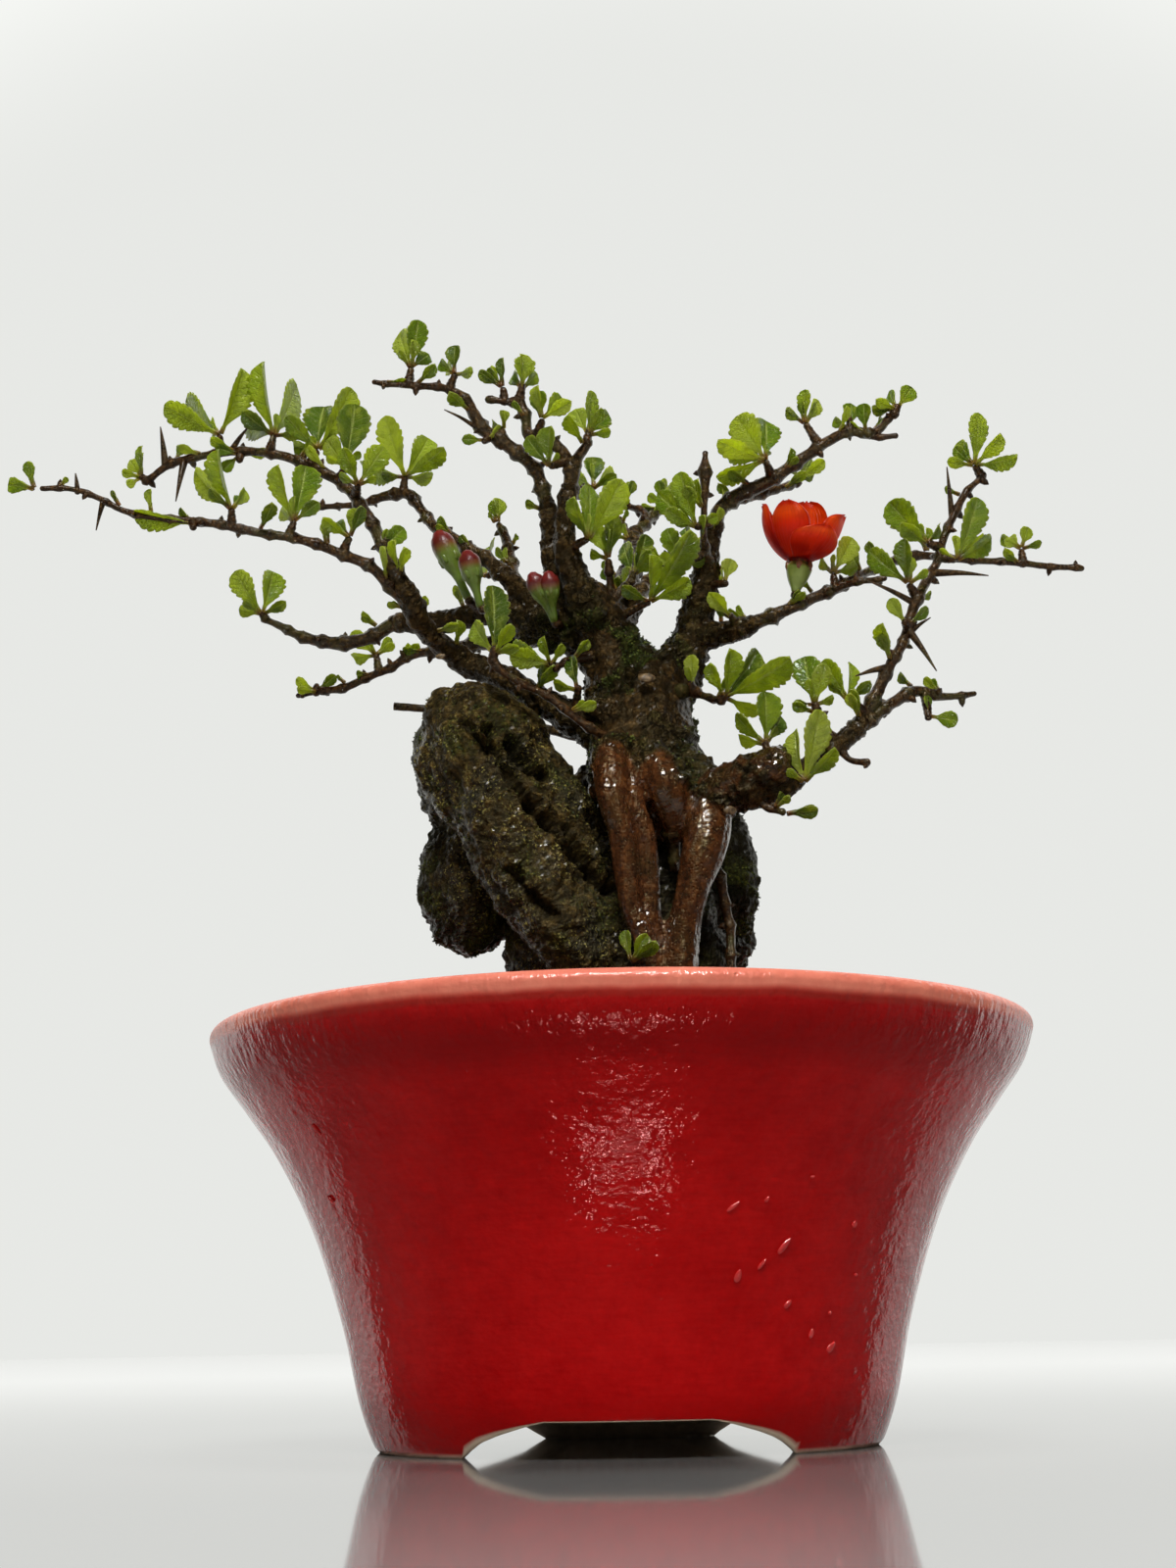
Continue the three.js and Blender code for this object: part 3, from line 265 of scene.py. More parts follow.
class Finish(Board):
    """A material in the making"""

    def __init__(self, name):
        self.material = bpy.data.materials.new(name)
        self.material.use_nodes = True
        super().__init__(self.material.node_tree)
        self.tree.nodes.clear()
        self.place = self.node("ShaderNodeTexCoord", output=3)

    def coordinate(self, axis):
        """Metres along X, Y or Z: 0, 1 or 2"""
        return self.node("ShaderNodeSeparateXYZ", inputs={0: self.place}, output=axis)

    def marked(self, name):
        return self.node("ShaderNodeAttribute", {"attribute_name": name}, output=2)

    def noise(self, size, detail=3.0, roughness=0.55, distortion=0.0, where=None):
        """Noise from 0 to 1 with hills about this size in millimetres"""
        inputs = {"Vector": where or self.place, "Scale": 1 / (size * MM), "Detail": detail,
                  "Roughness": roughness, "Distortion": distortion}
        return self.node("ShaderNodeTexNoise", inputs=inputs)

    def cells(self, size, feature="F1", randomness=1.0, where=None):
        """Distance to the nearest of scattered points, as a share of their spacing in millimetres"""
        inputs = {"Vector": where or self.place, "Scale": 1 / (size * MM), "Randomness": randomness}
        return self.node("ShaderNodeTexVoronoi", {"feature": feature}, inputs)

    def stretched(self, across, deep, up):
        """The place with its three directions scaled"""
        return self.node("ShaderNodeVectorMath", {"operation": "MULTIPLY"},
                         {0: self.place, 1: (across, deep, up)})

    def ramp(self, factor, *stops):
        return self.node("ShaderNodeValToRGB", {"stops": stops}, {0: factor})

    def blend(self, factor, first, second, kind="MIX"):
        settings = {"data_type": "RGBA", "blend_type": kind}
        return self.node("ShaderNodeMix", settings, {0: factor, 6: first, 7: second}, output=2)

    def bump(self, height, depth, normal=None):
        """A relief of this depth in millimetres"""
        inputs = {"Height": height, "Distance": depth * MM, "Strength": 1.0}
        if normal:
            inputs["Normal"] = normal
        return self.node("ShaderNodeBump", inputs=inputs)

    def surface(self, **inputs):
        """The main shader, with its sockets by name and an underscore for each space"""
        named = {name.replace("_", " "): value for name, value in inputs.items()}
        return self.node("ShaderNodeBsdfPrincipled", inputs=named)

    def done(self, shader):
        self.node("ShaderNodeOutputMaterial", inputs={"Surface": shader})
        return self.material


# Light, floor and camera

SKY = (0.80, 0.81, 0.785, 1.0)
FRONT_GLOOM = 0.05  # brightness of the studio before the bonsai, as a share of the backdrop's
BACKDROP_EDGE = (0.48, 0.53)  # where the backdrop starts, as its direction's share along Y
FLANK_GLOW = 1.5  # how much brighter the backdrop is at its two sides
LAMP_WHITE = (1.0, 0.99, 0.97)
OVERHEAD = {"at": (0.08, -0.1, 1.0), "sides": (0.3, 0.3), "power": 5.0}
KEY = {"at": (0.02, -0.72, 0.84), "sides": (0.3, 0.18), "power": 7.7}
GLINT = {"sides": (-0.16, 0.16), "back": -0.72, "height": 0.79, "spot_at": -0.093, "power": 340,
         "radius": 0.11, "beam": 6.2, "soft_edge": 0.3}
LIT_MIDDLE = (0.0, 0.0, 0.12)
BLACK = (0, 0, 0, 1)
FLOOR_WHITE = (1.0, 1.0, 0.985, 1)
FLOOR_RADIUS = 6000
FLOOR_SIDES = 96
CAMERA = {"at": (0.0, -405.52, 17.96), "yaw": 0.0128, "pitch": 0.2492, "roll": -0.0177, "lens": 50.4}


def aim_camera():
    camera = bpy.data.objects.new("camera", bpy.data.cameras.new("camera"))
    bpy.context.scene.collection.objects.link(camera)
    yaw, pitch, roll = CAMERA["yaw"], CAMERA["pitch"], CAMERA["roll"]
    ahead = Vector((-math.sin(yaw) * math.cos(pitch), math.cos(yaw) * math.cos(pitch), math.sin(pitch)))
    right = Vector((math.cos(yaw), math.sin(yaw), 0))
    over = right.cross(ahead)
    tilted_right = math.cos(roll) * right + math.sin(roll) * over
    tilted_over = math.cos(roll) * over - math.sin(roll) * right
    turn = Matrix((tilted_right, tilted_over, -ahead)).transposed().to_4x4()
    camera.matrix_world = Matrix.Translation(in_metres([CAMERA["at"]])[0]) @ turn
    camera.data.lens = CAMERA["lens"]
    camera.data.sensor_width = 36.0
    camera.data.clip_start = 0.02
    camera.data.clip_end = 20.0
    bpy.context.scene.camera = camera


def facing(at, towards):
    start = Vector(at)
    return Matrix.Translation(start) @ (Vector(towards) - start).to_track_quat("-Z", "Y").to_matrix().to_4x4()


def add_lamp(name, at, sides, power):
    light = bpy.data.lights.new(name, "AREA")
    light.shape = "RECTANGLE"
    light.size, light.size_y = sides
    light.energy = power
    light.color = LAMP_WHITE
    lamp = bpy.data.objects.new(name, light)
    bpy.context.scene.collection.objects.link(lamp)
    lamp.matrix_world = facing(at, LIT_MIDDLE)
    return lamp


def add_table_glow(name, at, towards):
    """A narrow spot on the floor before the pot, whose mirror image glints in the glaze"""
    light = bpy.data.lights.new(name, "SPOT")
    light.energy = GLINT["power"]
    light.shadow_soft_size = GLINT["radius"]
    light.spot_size = math.radians(GLINT["beam"])
    light.spot_blend = GLINT["soft_edge"]
    lamp = bpy.data.objects.new(name, light)
    bpy.context.scene.collection.objects.link(lamp)
    lamp.visible_diffuse = False
    lamp.matrix_world = facing(at, towards)


def light_the_scene():
    world = bpy.data.worlds.new("studio")
    bpy.context.scene.world = world
    world.use_nodes = True
    board = Board(world.node_tree)
    world.node_tree.nodes.clear()
    direction = board.node("ShaderNodeTexCoord", output=0)
    behind = board.node("ShaderNodeSeparateXYZ", inputs={0: direction}, output=1)
    flanks = 1 + FLANK_GLOW * behind.between(0.85, 0.6)
    strength = FRONT_GLOOM + (1 - FRONT_GLOOM) * behind.between(*BACKDROP_EDGE) * flanks
    sky = board.node("ShaderNodeBackground", inputs={"Color": SKY, "Strength": strength})
    board.node("ShaderNodeOutputWorld", inputs={"Surface": sky})
    overhead = add_lamp("overhead", **OVERHEAD)
    overhead.visible_glossy = False
    add_lamp("key", **KEY)
    for k, side in enumerate(GLINT["sides"]):
        at = (side, GLINT["back"], GLINT["height"])
        add_table_glow(f"table_glow_{k}", at, (0.1 * side + 0.002, GLINT["spot_at"], 0.0))
    bpy.context.scene.view_settings.view_transform = "Standard"
    bpy.context.scene.view_settings.look = "None"


def pale_floor():
    finish = Finish("pale_floor")
    x, y = finish.coordinate(0), finish.coordinate(1)
    away = (x * x + y * y) ** 0.5
    # painted shade: the floor is dark round the pot and grows pale out to 0.7 m
    brightness_with_painted_shade = 0.24 + 0.72 * away.between(0.1, 0.7)
    shade = finish.blend(brightness_with_painted_shade, BLACK, FLOOR_WHITE)
    # painted light: the floor glows on its own, more so from 0.3 m out to 1.2 m
    painted_glow = finish.blend(0.12 * away.between(0.3, 1.2), BLACK, FLOOR_WHITE)
    return finish.done(finish.surface(Base_Color=shade, Roughness=0.05, Specular_IOR_Level=0.8,
                                      Emission_Color=painted_glow, Emission_Strength=1.0))


def make_floor():
    around = [2 * math.pi * k / FLOOR_SIDES for k in range(FLOOR_SIDES)]
    points = [(0, 0, 0)] + [(FLOOR_RADIUS * math.cos(a), FLOOR_RADIUS * math.sin(a), 0) for a in around]
    faces = [(0, k + 1, (k + 1) % FLOOR_SIDES + 1) for k in range(FLOOR_SIDES)]
    floor = make_object("floor", points, faces, pale_floor())


# The pot: a turned shell on a foot with three cloud-shaped arches, red glaze that thins to salmon on its lip

FLARE = [[44.1, 0], [44.8, 0.9], [47.3, 7.3], [50.8, 22], [56.5, 38.9], [62.9, 51.4], [68, 58.7],
         [73.1, 65.9], [75, 71.2]]
WALL = 4.5
FOOT_INNER = 38.5
FLOOR_UNDER = 6.5
FLOOR_TOP = 11
DRAIN_RADIUS = 8
ARCHES = (-90, 30, 150)
ARCH = [[-27.5, -1], [-26.5, 0.6], [-24, 2.5], [-21, 3.7], [-17, 4.9], [-13, 5.8], [13, 5.8], [17, 4.9],
        [21, 3.7], [24, 2.5], [26.5, 0.6], [27.5, -1]]
LIP_MIDDLE = (73.2, 71.7)
LIP_RADIUS = 1.8
POT_SIDES = 303


def pot_profile():
    flare = soft_curve([[r, 0, z] for r, z in FLARE], 1.6)[:, [0, 2]]
    outside = flare[flare[:, 1] < LIP_MIDDLE[1] - 0.6]
    bead = [(LIP_MIDDLE[0] + LIP_RADIUS * math.cos(a), LIP_MIDDLE[1] + LIP_RADIUS * math.sin(a))
            for a in np.linspace(-0.1, math.pi + 0.15, 14)]
    along = unit(np.gradient(flare, axis=0))
    inner = flare + WALL * np.stack([-along[:, 1], along[:, 0]], axis=1)
    inside = [p for p in inner[::-1] if FLOOR_TOP + 2.5 < p[1] < LIP_MIDDLE[1] - 2.2]
    bottom = inside[-1]
    corner = [(bottom[0] - 0.3, bottom[1] - 1.2), (bottom[0] - 1.4, FLOOR_TOP + 0.3),
              (bottom[0] - 2.8, FLOOR_TOP)]
    floor = [(r, FLOOR_TOP) for r in (34, 26, 18, 12, 9)]
    drain = [(8.4, FLOOR_TOP - 0.1), (DRAIN_RADIUS, FLOOR_TOP - 0.6), (DRAIN_RADIUS, 8.8),
             (DRAIN_RADIUS, 7.0)]
    under = [(8.4, FLOOR_UNDER + 0.1)] + [(r, FLOOR_UNDER) for r in (9, 14, 22, 30, 36.8)]
    foot = [(37.9, 6.3), (38.3, 5.9), (38.5, 5.2), (38.5, 4), (38.5, 2.5), (38.5, 1), (38.6, 0.35), (38.9, 0),
            (40, 0), (41.5, 0), (43, 0), (43.9, 0)]
    return [*foot, *outside[1:], *bead, *inside, *corner, *floor, *drain, *under]


def make_pot():
    points, faces = turned(pot_profile(), POT_SIDES)
    radii = np.hypot(points[:, 0], points[:, 1])
    foot = (radii > FOOT_INNER - 1.2) & (points[:, 2] < FLOOR_UNDER)
    arch_across, arch_up = np.array(ARCH, dtype=float).T
    flare_radii, flare_heights = np.array(FLARE, dtype=float).T
    clay = np.zeros(len(points))
    for turn in ARCHES:
        angle = np.arctan2(points[:, 1], points[:, 0]) - math.radians(turn)
        across = radii * np.sin(angle)
        ahead = np.cos(angle) > 0
        lift = np.interp(across, arch_across, arch_up, left=-1, right=-1)
        cut = foot & ahead & (lift > 0)
        heights = points[:, 2]
        lifted = lift + heights * (FLOOR_UNDER - lift) / FLOOR_UNDER
        outer = cut & (radii > 43.5)
        flared = np.interp(lifted, flare_heights, flare_radii)
        widened = flared - np.interp(heights, flare_heights, flare_radii)
        scale = np.where(outer, 1 + widened / radii, 1)
        clay = np.where(cut & (heights < 1.7), 1, clay)
        points[:, 0] *= scale
        points[:, 1] *= scale
        points[:, 2] = np.where(cut, lifted, heights)
    under = foot & (points[:, 2] < 0.7)
    clay = np.where(under | ((radii < 44) & (points[:, 2] < 10.8)), 1, clay)
    pot = make_object("glazed_pot", points, faces, red_glaze())
    mark(pot.data, "clay", clay)
    dress(pot, "glazed_clay", "pot")
    return pot


def red_glaze():
    finish = Finish("red_glaze")
    height = finish.coordinate(2)
    x, y = finish.coordinate(0) - float(POT_AXIS[0]), finish.coordinate(1)
    out = (x * x + y * y) ** 0.5
    waver = finish.noise(14, 2) * (1.6 * MM)
    thin = (height + waver).between(0.0704, 0.0718) * out.between(0.0695, 0.0715)
    brim = (height + waver).between(0.0693, 0.0702) * (height + waver).between(0.0718, 0.0706)
    broad = finish.noise(22, 3)
    fine = finish.noise(1.1, 2)
    scratches = finish.noise(1.6, 3, where=finish.stretched(0.3, 0.3, 2.4))
    cloudy = finish.noise(4.5, 4, 0.6)
    depth = (broad - 0.5) * 1.6 + (cloudy - 0.5) * 1.3 + (fine - 0.5) * 0.8 + (scratches - 0.5) * 0.9 + 0.5
    body = finish.blend(depth, (0.52, 0.0004, 0.0012, 1), (0.92, 0.0105, 0.0105, 1))
    # Partly glaze pooled under the lip and partly painted shade: the wall grows darker from 66 mm up to the
    # lip
    pooled_glaze_and_shade = height.between(0.0715, 0.066)
    body = finish.blend(pooled_glaze_and_shade * 0.6, body, (0.28, 0.0005, 0.001, 1))
    shaded = height.between(0.057, 0.063) * height.between(0.071, 0.0695)
    body = finish.blend(shaded * 0.55, body, (0.20, 0.0003, 0.0008, 1))
    # painted shade: the glaze grows darker towards the foot, under the outward flare
    foot = height.between(0.012, 0.004)
    body = finish.blend(foot * 0.7, body, (0.30, 0.002, 0.002, 1))
    lip = finish.blend(finish.noise(4, 3), (0.68, 0.15, 0.10, 1), (0.90, 0.29, 0.19, 1))
    glazed = finish.blend(thin, body, lip)
    glazed = finish.blend(brim * 0.4, glazed, (0.24, 0.035, 0.02, 1))
    clay = finish.marked("clay")
    earth = finish.blend(finish.noise(1.5, 4), (0.46, 0.35, 0.24, 1), (0.70, 0.57, 0.42, 1))
    base = finish.blend(clay, glazed, earth)
    wide = finish.noise(13, 2, 0.5)
    peel = finish.noise(2.4, 2, 0.5)
    wrinkles = finish.noise(1.5, 2, 0.5, where=finish.stretched(0.85, 0.85, 1.2))
    pits = finish.cells(7.5).between(0.05, 0.0)
    normal = finish.bump(wide, 0.6)
    drips = finish.noise(1.5, 2, 0.5, where=finish.stretched(1, 1, 0.3)) * height.between(0.061, 0.066)
    normal = finish.bump(peel, 0.14, normal)
    normal = finish.bump(wrinkles, 0.17, normal)
    normal = finish.bump(drips, 0.3, normal)
    normal = finish.bump(1 - pits, 0.12, normal)
    roughness = 0.04 + 0.04 * broad + 0.55 * clay + 0.2 * thin
    shader = finish.surface(Base_Color=base, Roughness=roughness, Normal=normal, Specular_IOR_Level=0.32,
                            Specular_Tint=(1.0, 0.42, 0.4, 1))
    return finish.done(shader)


# Angle from the front, height, width, length and tilt of the dried drops on the glaze
GLAZE_BEADS = [(42.4, 35.9, 0.9, 1.2, 10), (27.9, 32.4, 1.0, 3.3, 38), (19.7, 27.8, 1.1, 2.2, 15),
               (30.3, 23.4, 0.9, 1.7, 40), (36.5, 18.8, 0.8, 1.6, 10), (42.0, 16.6, 1.2, 2.2, 45),
               (17.8, 38.4, 0.7, 2.6, 50), (23.5, 39.5, 0.6, 1.1, 30), (24.0, 29.6, 0.6, 2.2, 35),
               (45.5, 28.0, 0.4, 0.6, 0), (40.5, 22.0, 0.5, 0.6, 0), (31.0, 43.0, 0.4, 0.8, 60),
               (-58.2, 42.2, 0.6, 1.6, -30), (-52.5, 53.0, 0.5, 2.4, -15)]
BEAD_RISE = 0.32


def make_glaze_beads():
    """Dried drops, as flat lenses that lie on the wall"""
    flare_radii, flare_heights = np.array(FLARE, dtype=float).T
    points, faces = [], []
    count = 0
    for turn, height, wide, long, tilt in GLAZE_BEADS:
        shape = bmesh.new()
        bmesh.ops.create_uvsphere(shape, u_segments=20, v_segments=12, radius=1)
        lens = np.array([v.co[:] for v in shape.verts])
        faces += [tuple(v.index + count for v in face.verts) for face in shape.faces]
        shape.free()
        count += len(lens)
        angle = math.radians(turn)
        out = np.array([math.sin(angle), -math.cos(angle), 0])
        around = np.array([math.cos(angle), math.sin(angle), 0])
        foot, below, above = (np.interp(height + step, flare_heights, flare_radii) for step in (0, -1, 1))
        up = unit(out * (above - below) / 2 + (0, 0, 1))
        face = np.cross(around, up)
        lean = math.radians(tilt)
        along = math.cos(lean) * up + math.sin(lean) * around
        across = math.cos(lean) * around - math.sin(lean) * up
        size = np.column_stack([wide / 2 * (1 - 0.3 * lens[:, 1]), np.full(len(lens), long / 2),
                                np.full(len(lens), BEAD_RISE)])
        spread = lens * size
        centre = out * foot + (0, 0, height)
        points.append(centre + spread[:, :1] * across + spread[:, 1:2] * along + spread[:, 2:] * face)
    beads = make_object("glaze_beads", np.vstack(points), faces, bead_glaze())
    dress(beads, "glazed_clay", "pot")


def bead_glaze():
    finish = Finish("bead_glaze")
    fine = finish.noise(0.9, 3)
    base = finish.blend(fine, (0.52, 0.020, 0.020, 1), (0.66, 0.055, 0.050, 1))
    shader = finish.surface(Base_Color=base, Roughness=0.2, Normal=finish.bump(fine, 0.02),
                            Specular_IOR_Level=0.3)
    return finish.done(shader)


# What the model is made of: limbs as points with radii, thorns, rosettes of leaves, and the rock's lobes

WOOD = {
    "trunk": [[7, -3, 112, 8.5], [6.5, -3, 120, 10.4], [5, -2, 131, 10.3], [5, -1, 139, 8.7], [4, 0, 145, 6]],
    "left_trunk": [[4, -1, 137, 8.3], [1, 0, 144, 6.6], [-1, 0, 150, 5.9], [-3, -1, 155, 5.3],
        [-6, -2, 159, 3.8]],
    "left_arm": [[-1, 1, 152, 5.6], [-10, 4, 154, 5], [-16, 6, 156, 3.9], [-22, 8, 159.3, 2.5]],
    "limb_b": [[-3, -2, 154, 4.9], [-6, -4, 159, 3.2], [-8.7, -5, 166.6, 2.3], [-8.2, -6, 175.5, 1.9],
        [-7.3, -7, 182, 1.7], [-9, -8, 186, 1.4], [-12.3, -8, 188.8, 1.2], [-15.1, -9, 189.1, 1.2],
        [-16, -9, 193, 1.2], [-17.1, -9, 196.7, 1.4]],
    "limb_b_right": [[-7.3, -7, 181.5, 1.5], [-5.9, -8, 184.4, 1.2], [-4.1, -9, 187.2, 1]],
    "limb_b_back": [[-7.8, -6, 180, 1.3], [-5.5, 0, 180, 1.1], [-4, 5.5, 181.5, 0.9]],
    "limb_c": [[-17.1, -9, 196, 1.2], [-20, -10, 195.7, 0.8], [-23, -10, 196, 0.7]],
    "limb_a": [[-3, 0, 153, 4.2], [-9.3, 1, 161, 2.7], [-11.3, 0, 167, 2.3], [-11.8, -1, 174.6, 1.9],
        [-12.8, -2, 180.4, 1.7], [-14.3, -3, 184.6, 1.5], [-20.3, -5, 189.3, 1.6], [-24.2, -6, 191.4, 1.5],
        [-27.9, -8, 197.2, 1.2], [-31, -8, 199.2, 0.9], [-36.3, -9, 199.9, 0.8], [-45.8, -10, 200.7, 0.6]],
    "stub_a": [[-21, -5, 188.5, 1.1], [-20.5, -6, 191.2, 0.8]],
    "limb_e": [[-13, 5, 155.5, 3.6], [-19.1, 5, 163.3, 2.1], [-22.9, 4, 166.9, 1.8], [-30.4, 6, 173.4, 1.4],
        [-34.7, 8, 176.4, 1.4], [-38.2, 10, 181.4, 1.2], [-41.4, 12, 185.9, 1.4], [-46, 14, 186.4, 1.2],
        [-51.4, 16, 185.4, 0.8], [-60.2, 18, 185.7, 0.6]],
    "limb_d": [[-19.1, 5, 163, 1.6], [-20.1, 10, 170.3, 1.3], [-21, 13, 175.6, 1.2], [-22.8, 14, 179.6, 0.8]],
    "limb_l2": [[-16, 6.5, 156.5, 3.5], [-24.2, 9, 158.9, 2.5], [-36.3, 13, 158.4, 2.3],
        [-43.4, 15, 159.3, 1.8], [-48.4, 16, 157.2, 1.6], [-54.5, 17, 156.2, 1.6], [-62.6, 18, 157.8, 1.2],
        [-70.4, 18, 161.7, 0.8]],
    "limb_l3": [[-11, 6, 154, 2.8], [-20.6, 14, 154.5, 2], [-28.7, 18, 155.3, 1.6], [-35, 22, 155.5, 1.4],
        [-40.3, 25, 155.8, 1.1], [-47.7, 28, 153.3, 1], [-55.2, 31, 151.2, 1], [-66.1, 35, 150.3, 0.6]],
    "limb_l1": [[1, -2, 129, 4.9], [-7, -3, 133, 3.4], [-15.3, 0, 138.5, 2.7], [-22, 2, 143.5, 2.5],
        [-27.8, 3, 146.5, 2.5], [-32.3, 0, 149, 2.2], [-36.2, -5, 151.6, 2.1], [-38.5, -9, 155.9, 2.3],
        [-40.7, -11, 160, 1.9], [-43.3, -13, 165.6, 1.5], [-45.9, -14, 171, 1.3], [-48.5, -14, 175.3, 1.3],
        [-52.3, -13, 179.2, 1.3], [-57.1, -12, 182.1, 1.3], [-62.6, -11, 184.9, 1.1], [-74.8, -9, 186.8, 0.9],
        [-85.3, -7, 185.5, 0.9], [-90.2, -6, 182.5, 0.7]],
    "limb_l1b": [[-38, -8.5, 155.2, 1.6], [-41.2, -10, 157.4, 1.2], [-44.4, -12, 160.7, 1.2],
        [-49.7, -14, 163.2, 1.2], [-61.4, -17, 166.1, 1], [-76.8, -19, 168.6, 0.9],
        [-91.3, -21, 170.8, 0.7], [-99.4, -22, 174.3, 0.6], [-106.2, -23, 174.2, 0.6]],
    "cut_rod": [[-6, 6, 132, 1], [-28.5, 12.5, 139.4, 0.8], [-43.6, 12.5, 141.1, 0.8]],
    "shoot_s": [[2, -10, 126, 1.2], [-3.9, -14, 128.1, 1], [-12, -16.5, 133.3, 0.8], [-20.2, -19, 138.2, 0.8],
        [-22.1, -19, 140, 0.9]],
    "twig_arm": [[-2, -3, 146, 1.2], [-8, -5, 144.5, 0.9], [-10.6, -6, 142.6, 0.7]],
    "limb_r1": [[6, 0, 134, 7.6], [12, 0, 143, 5], [15, 0, 149, 3.9], [17, -1, 157, 3.2],
        [18.8, -2, 163.4, 2.5], [19.9, -3, 170.1, 1.9], [21.6, -4, 175.1, 1.7], [24.8, -5, 177.3, 1.7],
        [31.2, -6, 179.8, 1.5], [42.7, -8, 186.7, 1.2], [47.1, -9, 188.2, 1.1], [51.8, -9, 188.2, 1],
        [55.4, -10, 191, 0.7]],
    "limb_r1_spur": [[47.1, -9, 188.2, 0.8], [51.2, -9, 187.2, 0.7], [55.8, -10, 186.7, 0.6]],
    "limb_r1b": [[21.5, -4, 174.8, 1.4], [24, -1, 177.4, 1.1], [29.9, 4, 180.8, 1], [36.2, 9, 184.3, 1],
        [38, 10.6, 185.6, 0.7]],
    "limb_r1c": [[19, -2.5, 163.5, 1.4], [17.7, -9, 167.3, 0.8], [18, -11, 172.1, 0.8], [18.4, -12, 176, 1],
        [18.6, -12, 179.5, 1.4], [18.7, -12, 183.3, 0.3]],
    "limb_k": [[-1, 0, 152, 4.6], [0.5, 6, 160, 3.1], [3.3, 14, 167.4, 2.4], [5.1, 26, 177.1, 1.9],
        [5.3, 36, 184.3, 1.7], [8, 42, 190.1, 1.3], [11.6, 46, 194.5, 1.1]],
    "limb_k2": [[7, 40, 188, 1.1], [7.5, 43, 192.6, 0.9], [3.9, 46, 195.4, 0.9]],
    "limb_k3": [[5, 34, 182.5, 1.1], [2.5, 38, 187.8, 1]],
    "limb_m": [[1, 2, 153, 3], [5.1, 6, 160.5, 1.8], [9.9, 14, 169.2, 1.2], [13.1, 19, 174.1, 1],
        [16.3, 23, 177.6, 0.7]],
    "limb_n": [[-2, -1, 153, 3], [1, -3, 157.5, 1.4], [3.8, -3, 160.4, 0.9]],
    "limb_n2": [[0, -2, 156, 1.4], [-0.3, -4.5, 161.8, 0.8]],
    "limb_r2": [[15, -1, 149.5, 3], [22.6, -4, 149.6, 2.3], [28.2, -7, 150.9, 1.7], [37.6, -8, 154.5, 1.3],
        [42.4, -7, 156.5, 1.3], [47, -4, 160, 1.1], [53.2, 2, 164.6, 1], [60.7, 7, 168.3, 1],
        [75.8, 10, 167.9, 0.8], [94.4, 12, 166.5, 0.7]],
    "limb_r2b": [[40.4, -8, 155.4, 1], [45.7, -11, 156.4, 0.8], [51.5, -13, 156.7, 0.6]],
    "limb_r3": [[16, -15, 110, 4.4], [18.5, -16.5, 114.3, 4.3], [22.5, -18.5, 116, 4.2],
        [26.5, -19.5, 117.5, 4.2], [29.8, -20.5, 118.6, 4]],
    "limb_r3m": [[24, -18.5, 114.5, 3.6], [30.6, -19, 115.2, 2.4], [35.7, -19, 119.3, 1.8],
        [40.7, -19, 122.7, 1.8], [45.3, -18, 127, 1.8], [47.9, -18, 132, 1.5], [50.5, -18, 137, 1.2],
        [53.9, -17, 142.7, 1.1], [56.5, -16, 150.5, 1.2], [61.4, -14, 159, 1], [62.9, -14, 164.1, 0.9],
        [67.7, -12, 173.5, 0.8], [71.5, -11, 177.4, 0.6]],
    "limb_r3b": [[45.8, -18, 126.6, 1.4], [50.4, -17, 130.3, 1.3], [55.9, -15, 134, 1.3],
        [61, -13, 133.4, 0.9], [67.7, -11, 134.2, 0.6]],
    "limb_r3c": [[40.7, -19, 122.7, 0.9], [42.8, -20, 119.8, 0.7], [45.8, -21, 118.8, 0.7]],
    "limb_u": [[24.6, -18, 115.3, 1.4], [26.5, -20, 111.5, 0.8], [30.2, -21, 109.6, 0.7]],
    "twig_t": [[11, -6, 138, 1.6], [14.5, -9.5, 136.2, 1.3], [16.6, -13, 134.2, 0.8],
        [19.7, -16, 132.4, 0.7]],
    "twig_h": [[40.7, -19, 122.7, 1], [38.6, -20, 126, 0.8], [37, -20, 128.8, 0.7]],
    "root_1": [[2, -7, 126, 4], [0, -13, 124, 3.8], [-0.6, -17.5, 119, 3.5], [-0.4, -19.5, 113.5, 3],
        [1, -20.5, 106.7, 2.5], [1.9, -20.5, 98, 2.3], [2.6, -20.5, 92.5, 2.1], [4.4, -20.5, 88.2, 2.1],
        [6, -20.5, 80, 2.1], [7.8, -20.5, 70, 2], [8.5, -21, 62, 1.7]],
    "root_1b": [[3.5, -10, 124, 3.2], [2.4, -16.5, 119.5, 2.4], [3.5, -19, 112.5, 1.9],
        [5.2, -19, 107, 1.9], [5.8, -19, 98, 1.9], [6.1, -19, 90, 1.8], [8, -19, 82, 1.8],
        [10.5, -18, 74, 1.7], [12, -19, 62, 1.4]],
    "root_2": [[6, -7, 125, 3.8], [6.9, -13.5, 122, 3.6], [8.5, -17, 117.5, 4], [9.6, -17.5, 114, 3.8],
        [10.2, -17, 110.3, 2.8], [10.5, -15, 106, 1.5], [10.4, -13, 101.5, 1]],
    "root_3": [[12, -5, 124, 4.2], [15.4, -11.5, 119, 4], [16.4, -15, 113, 4.4], [16.6, -17, 108.5, 4.4],
        [15.7, -18.5, 103.5, 4], [14.1, -19, 98.6, 3.3], [12.6, -19, 93.4, 3], [11.6, -19, 88.6, 3.1],
        [10.8, -19.5, 82, 3.2], [11, -19.5, 74, 3], [11, -20, 62, 2.3]],
    "root_4": [[16.5, -13, 106, 1.8], [19.3, -11, 98.1, 1.1], [20.5, -10, 90.2, 1], [20.5, -10, 80, 1],
        [21, -11, 63, 0.9]],
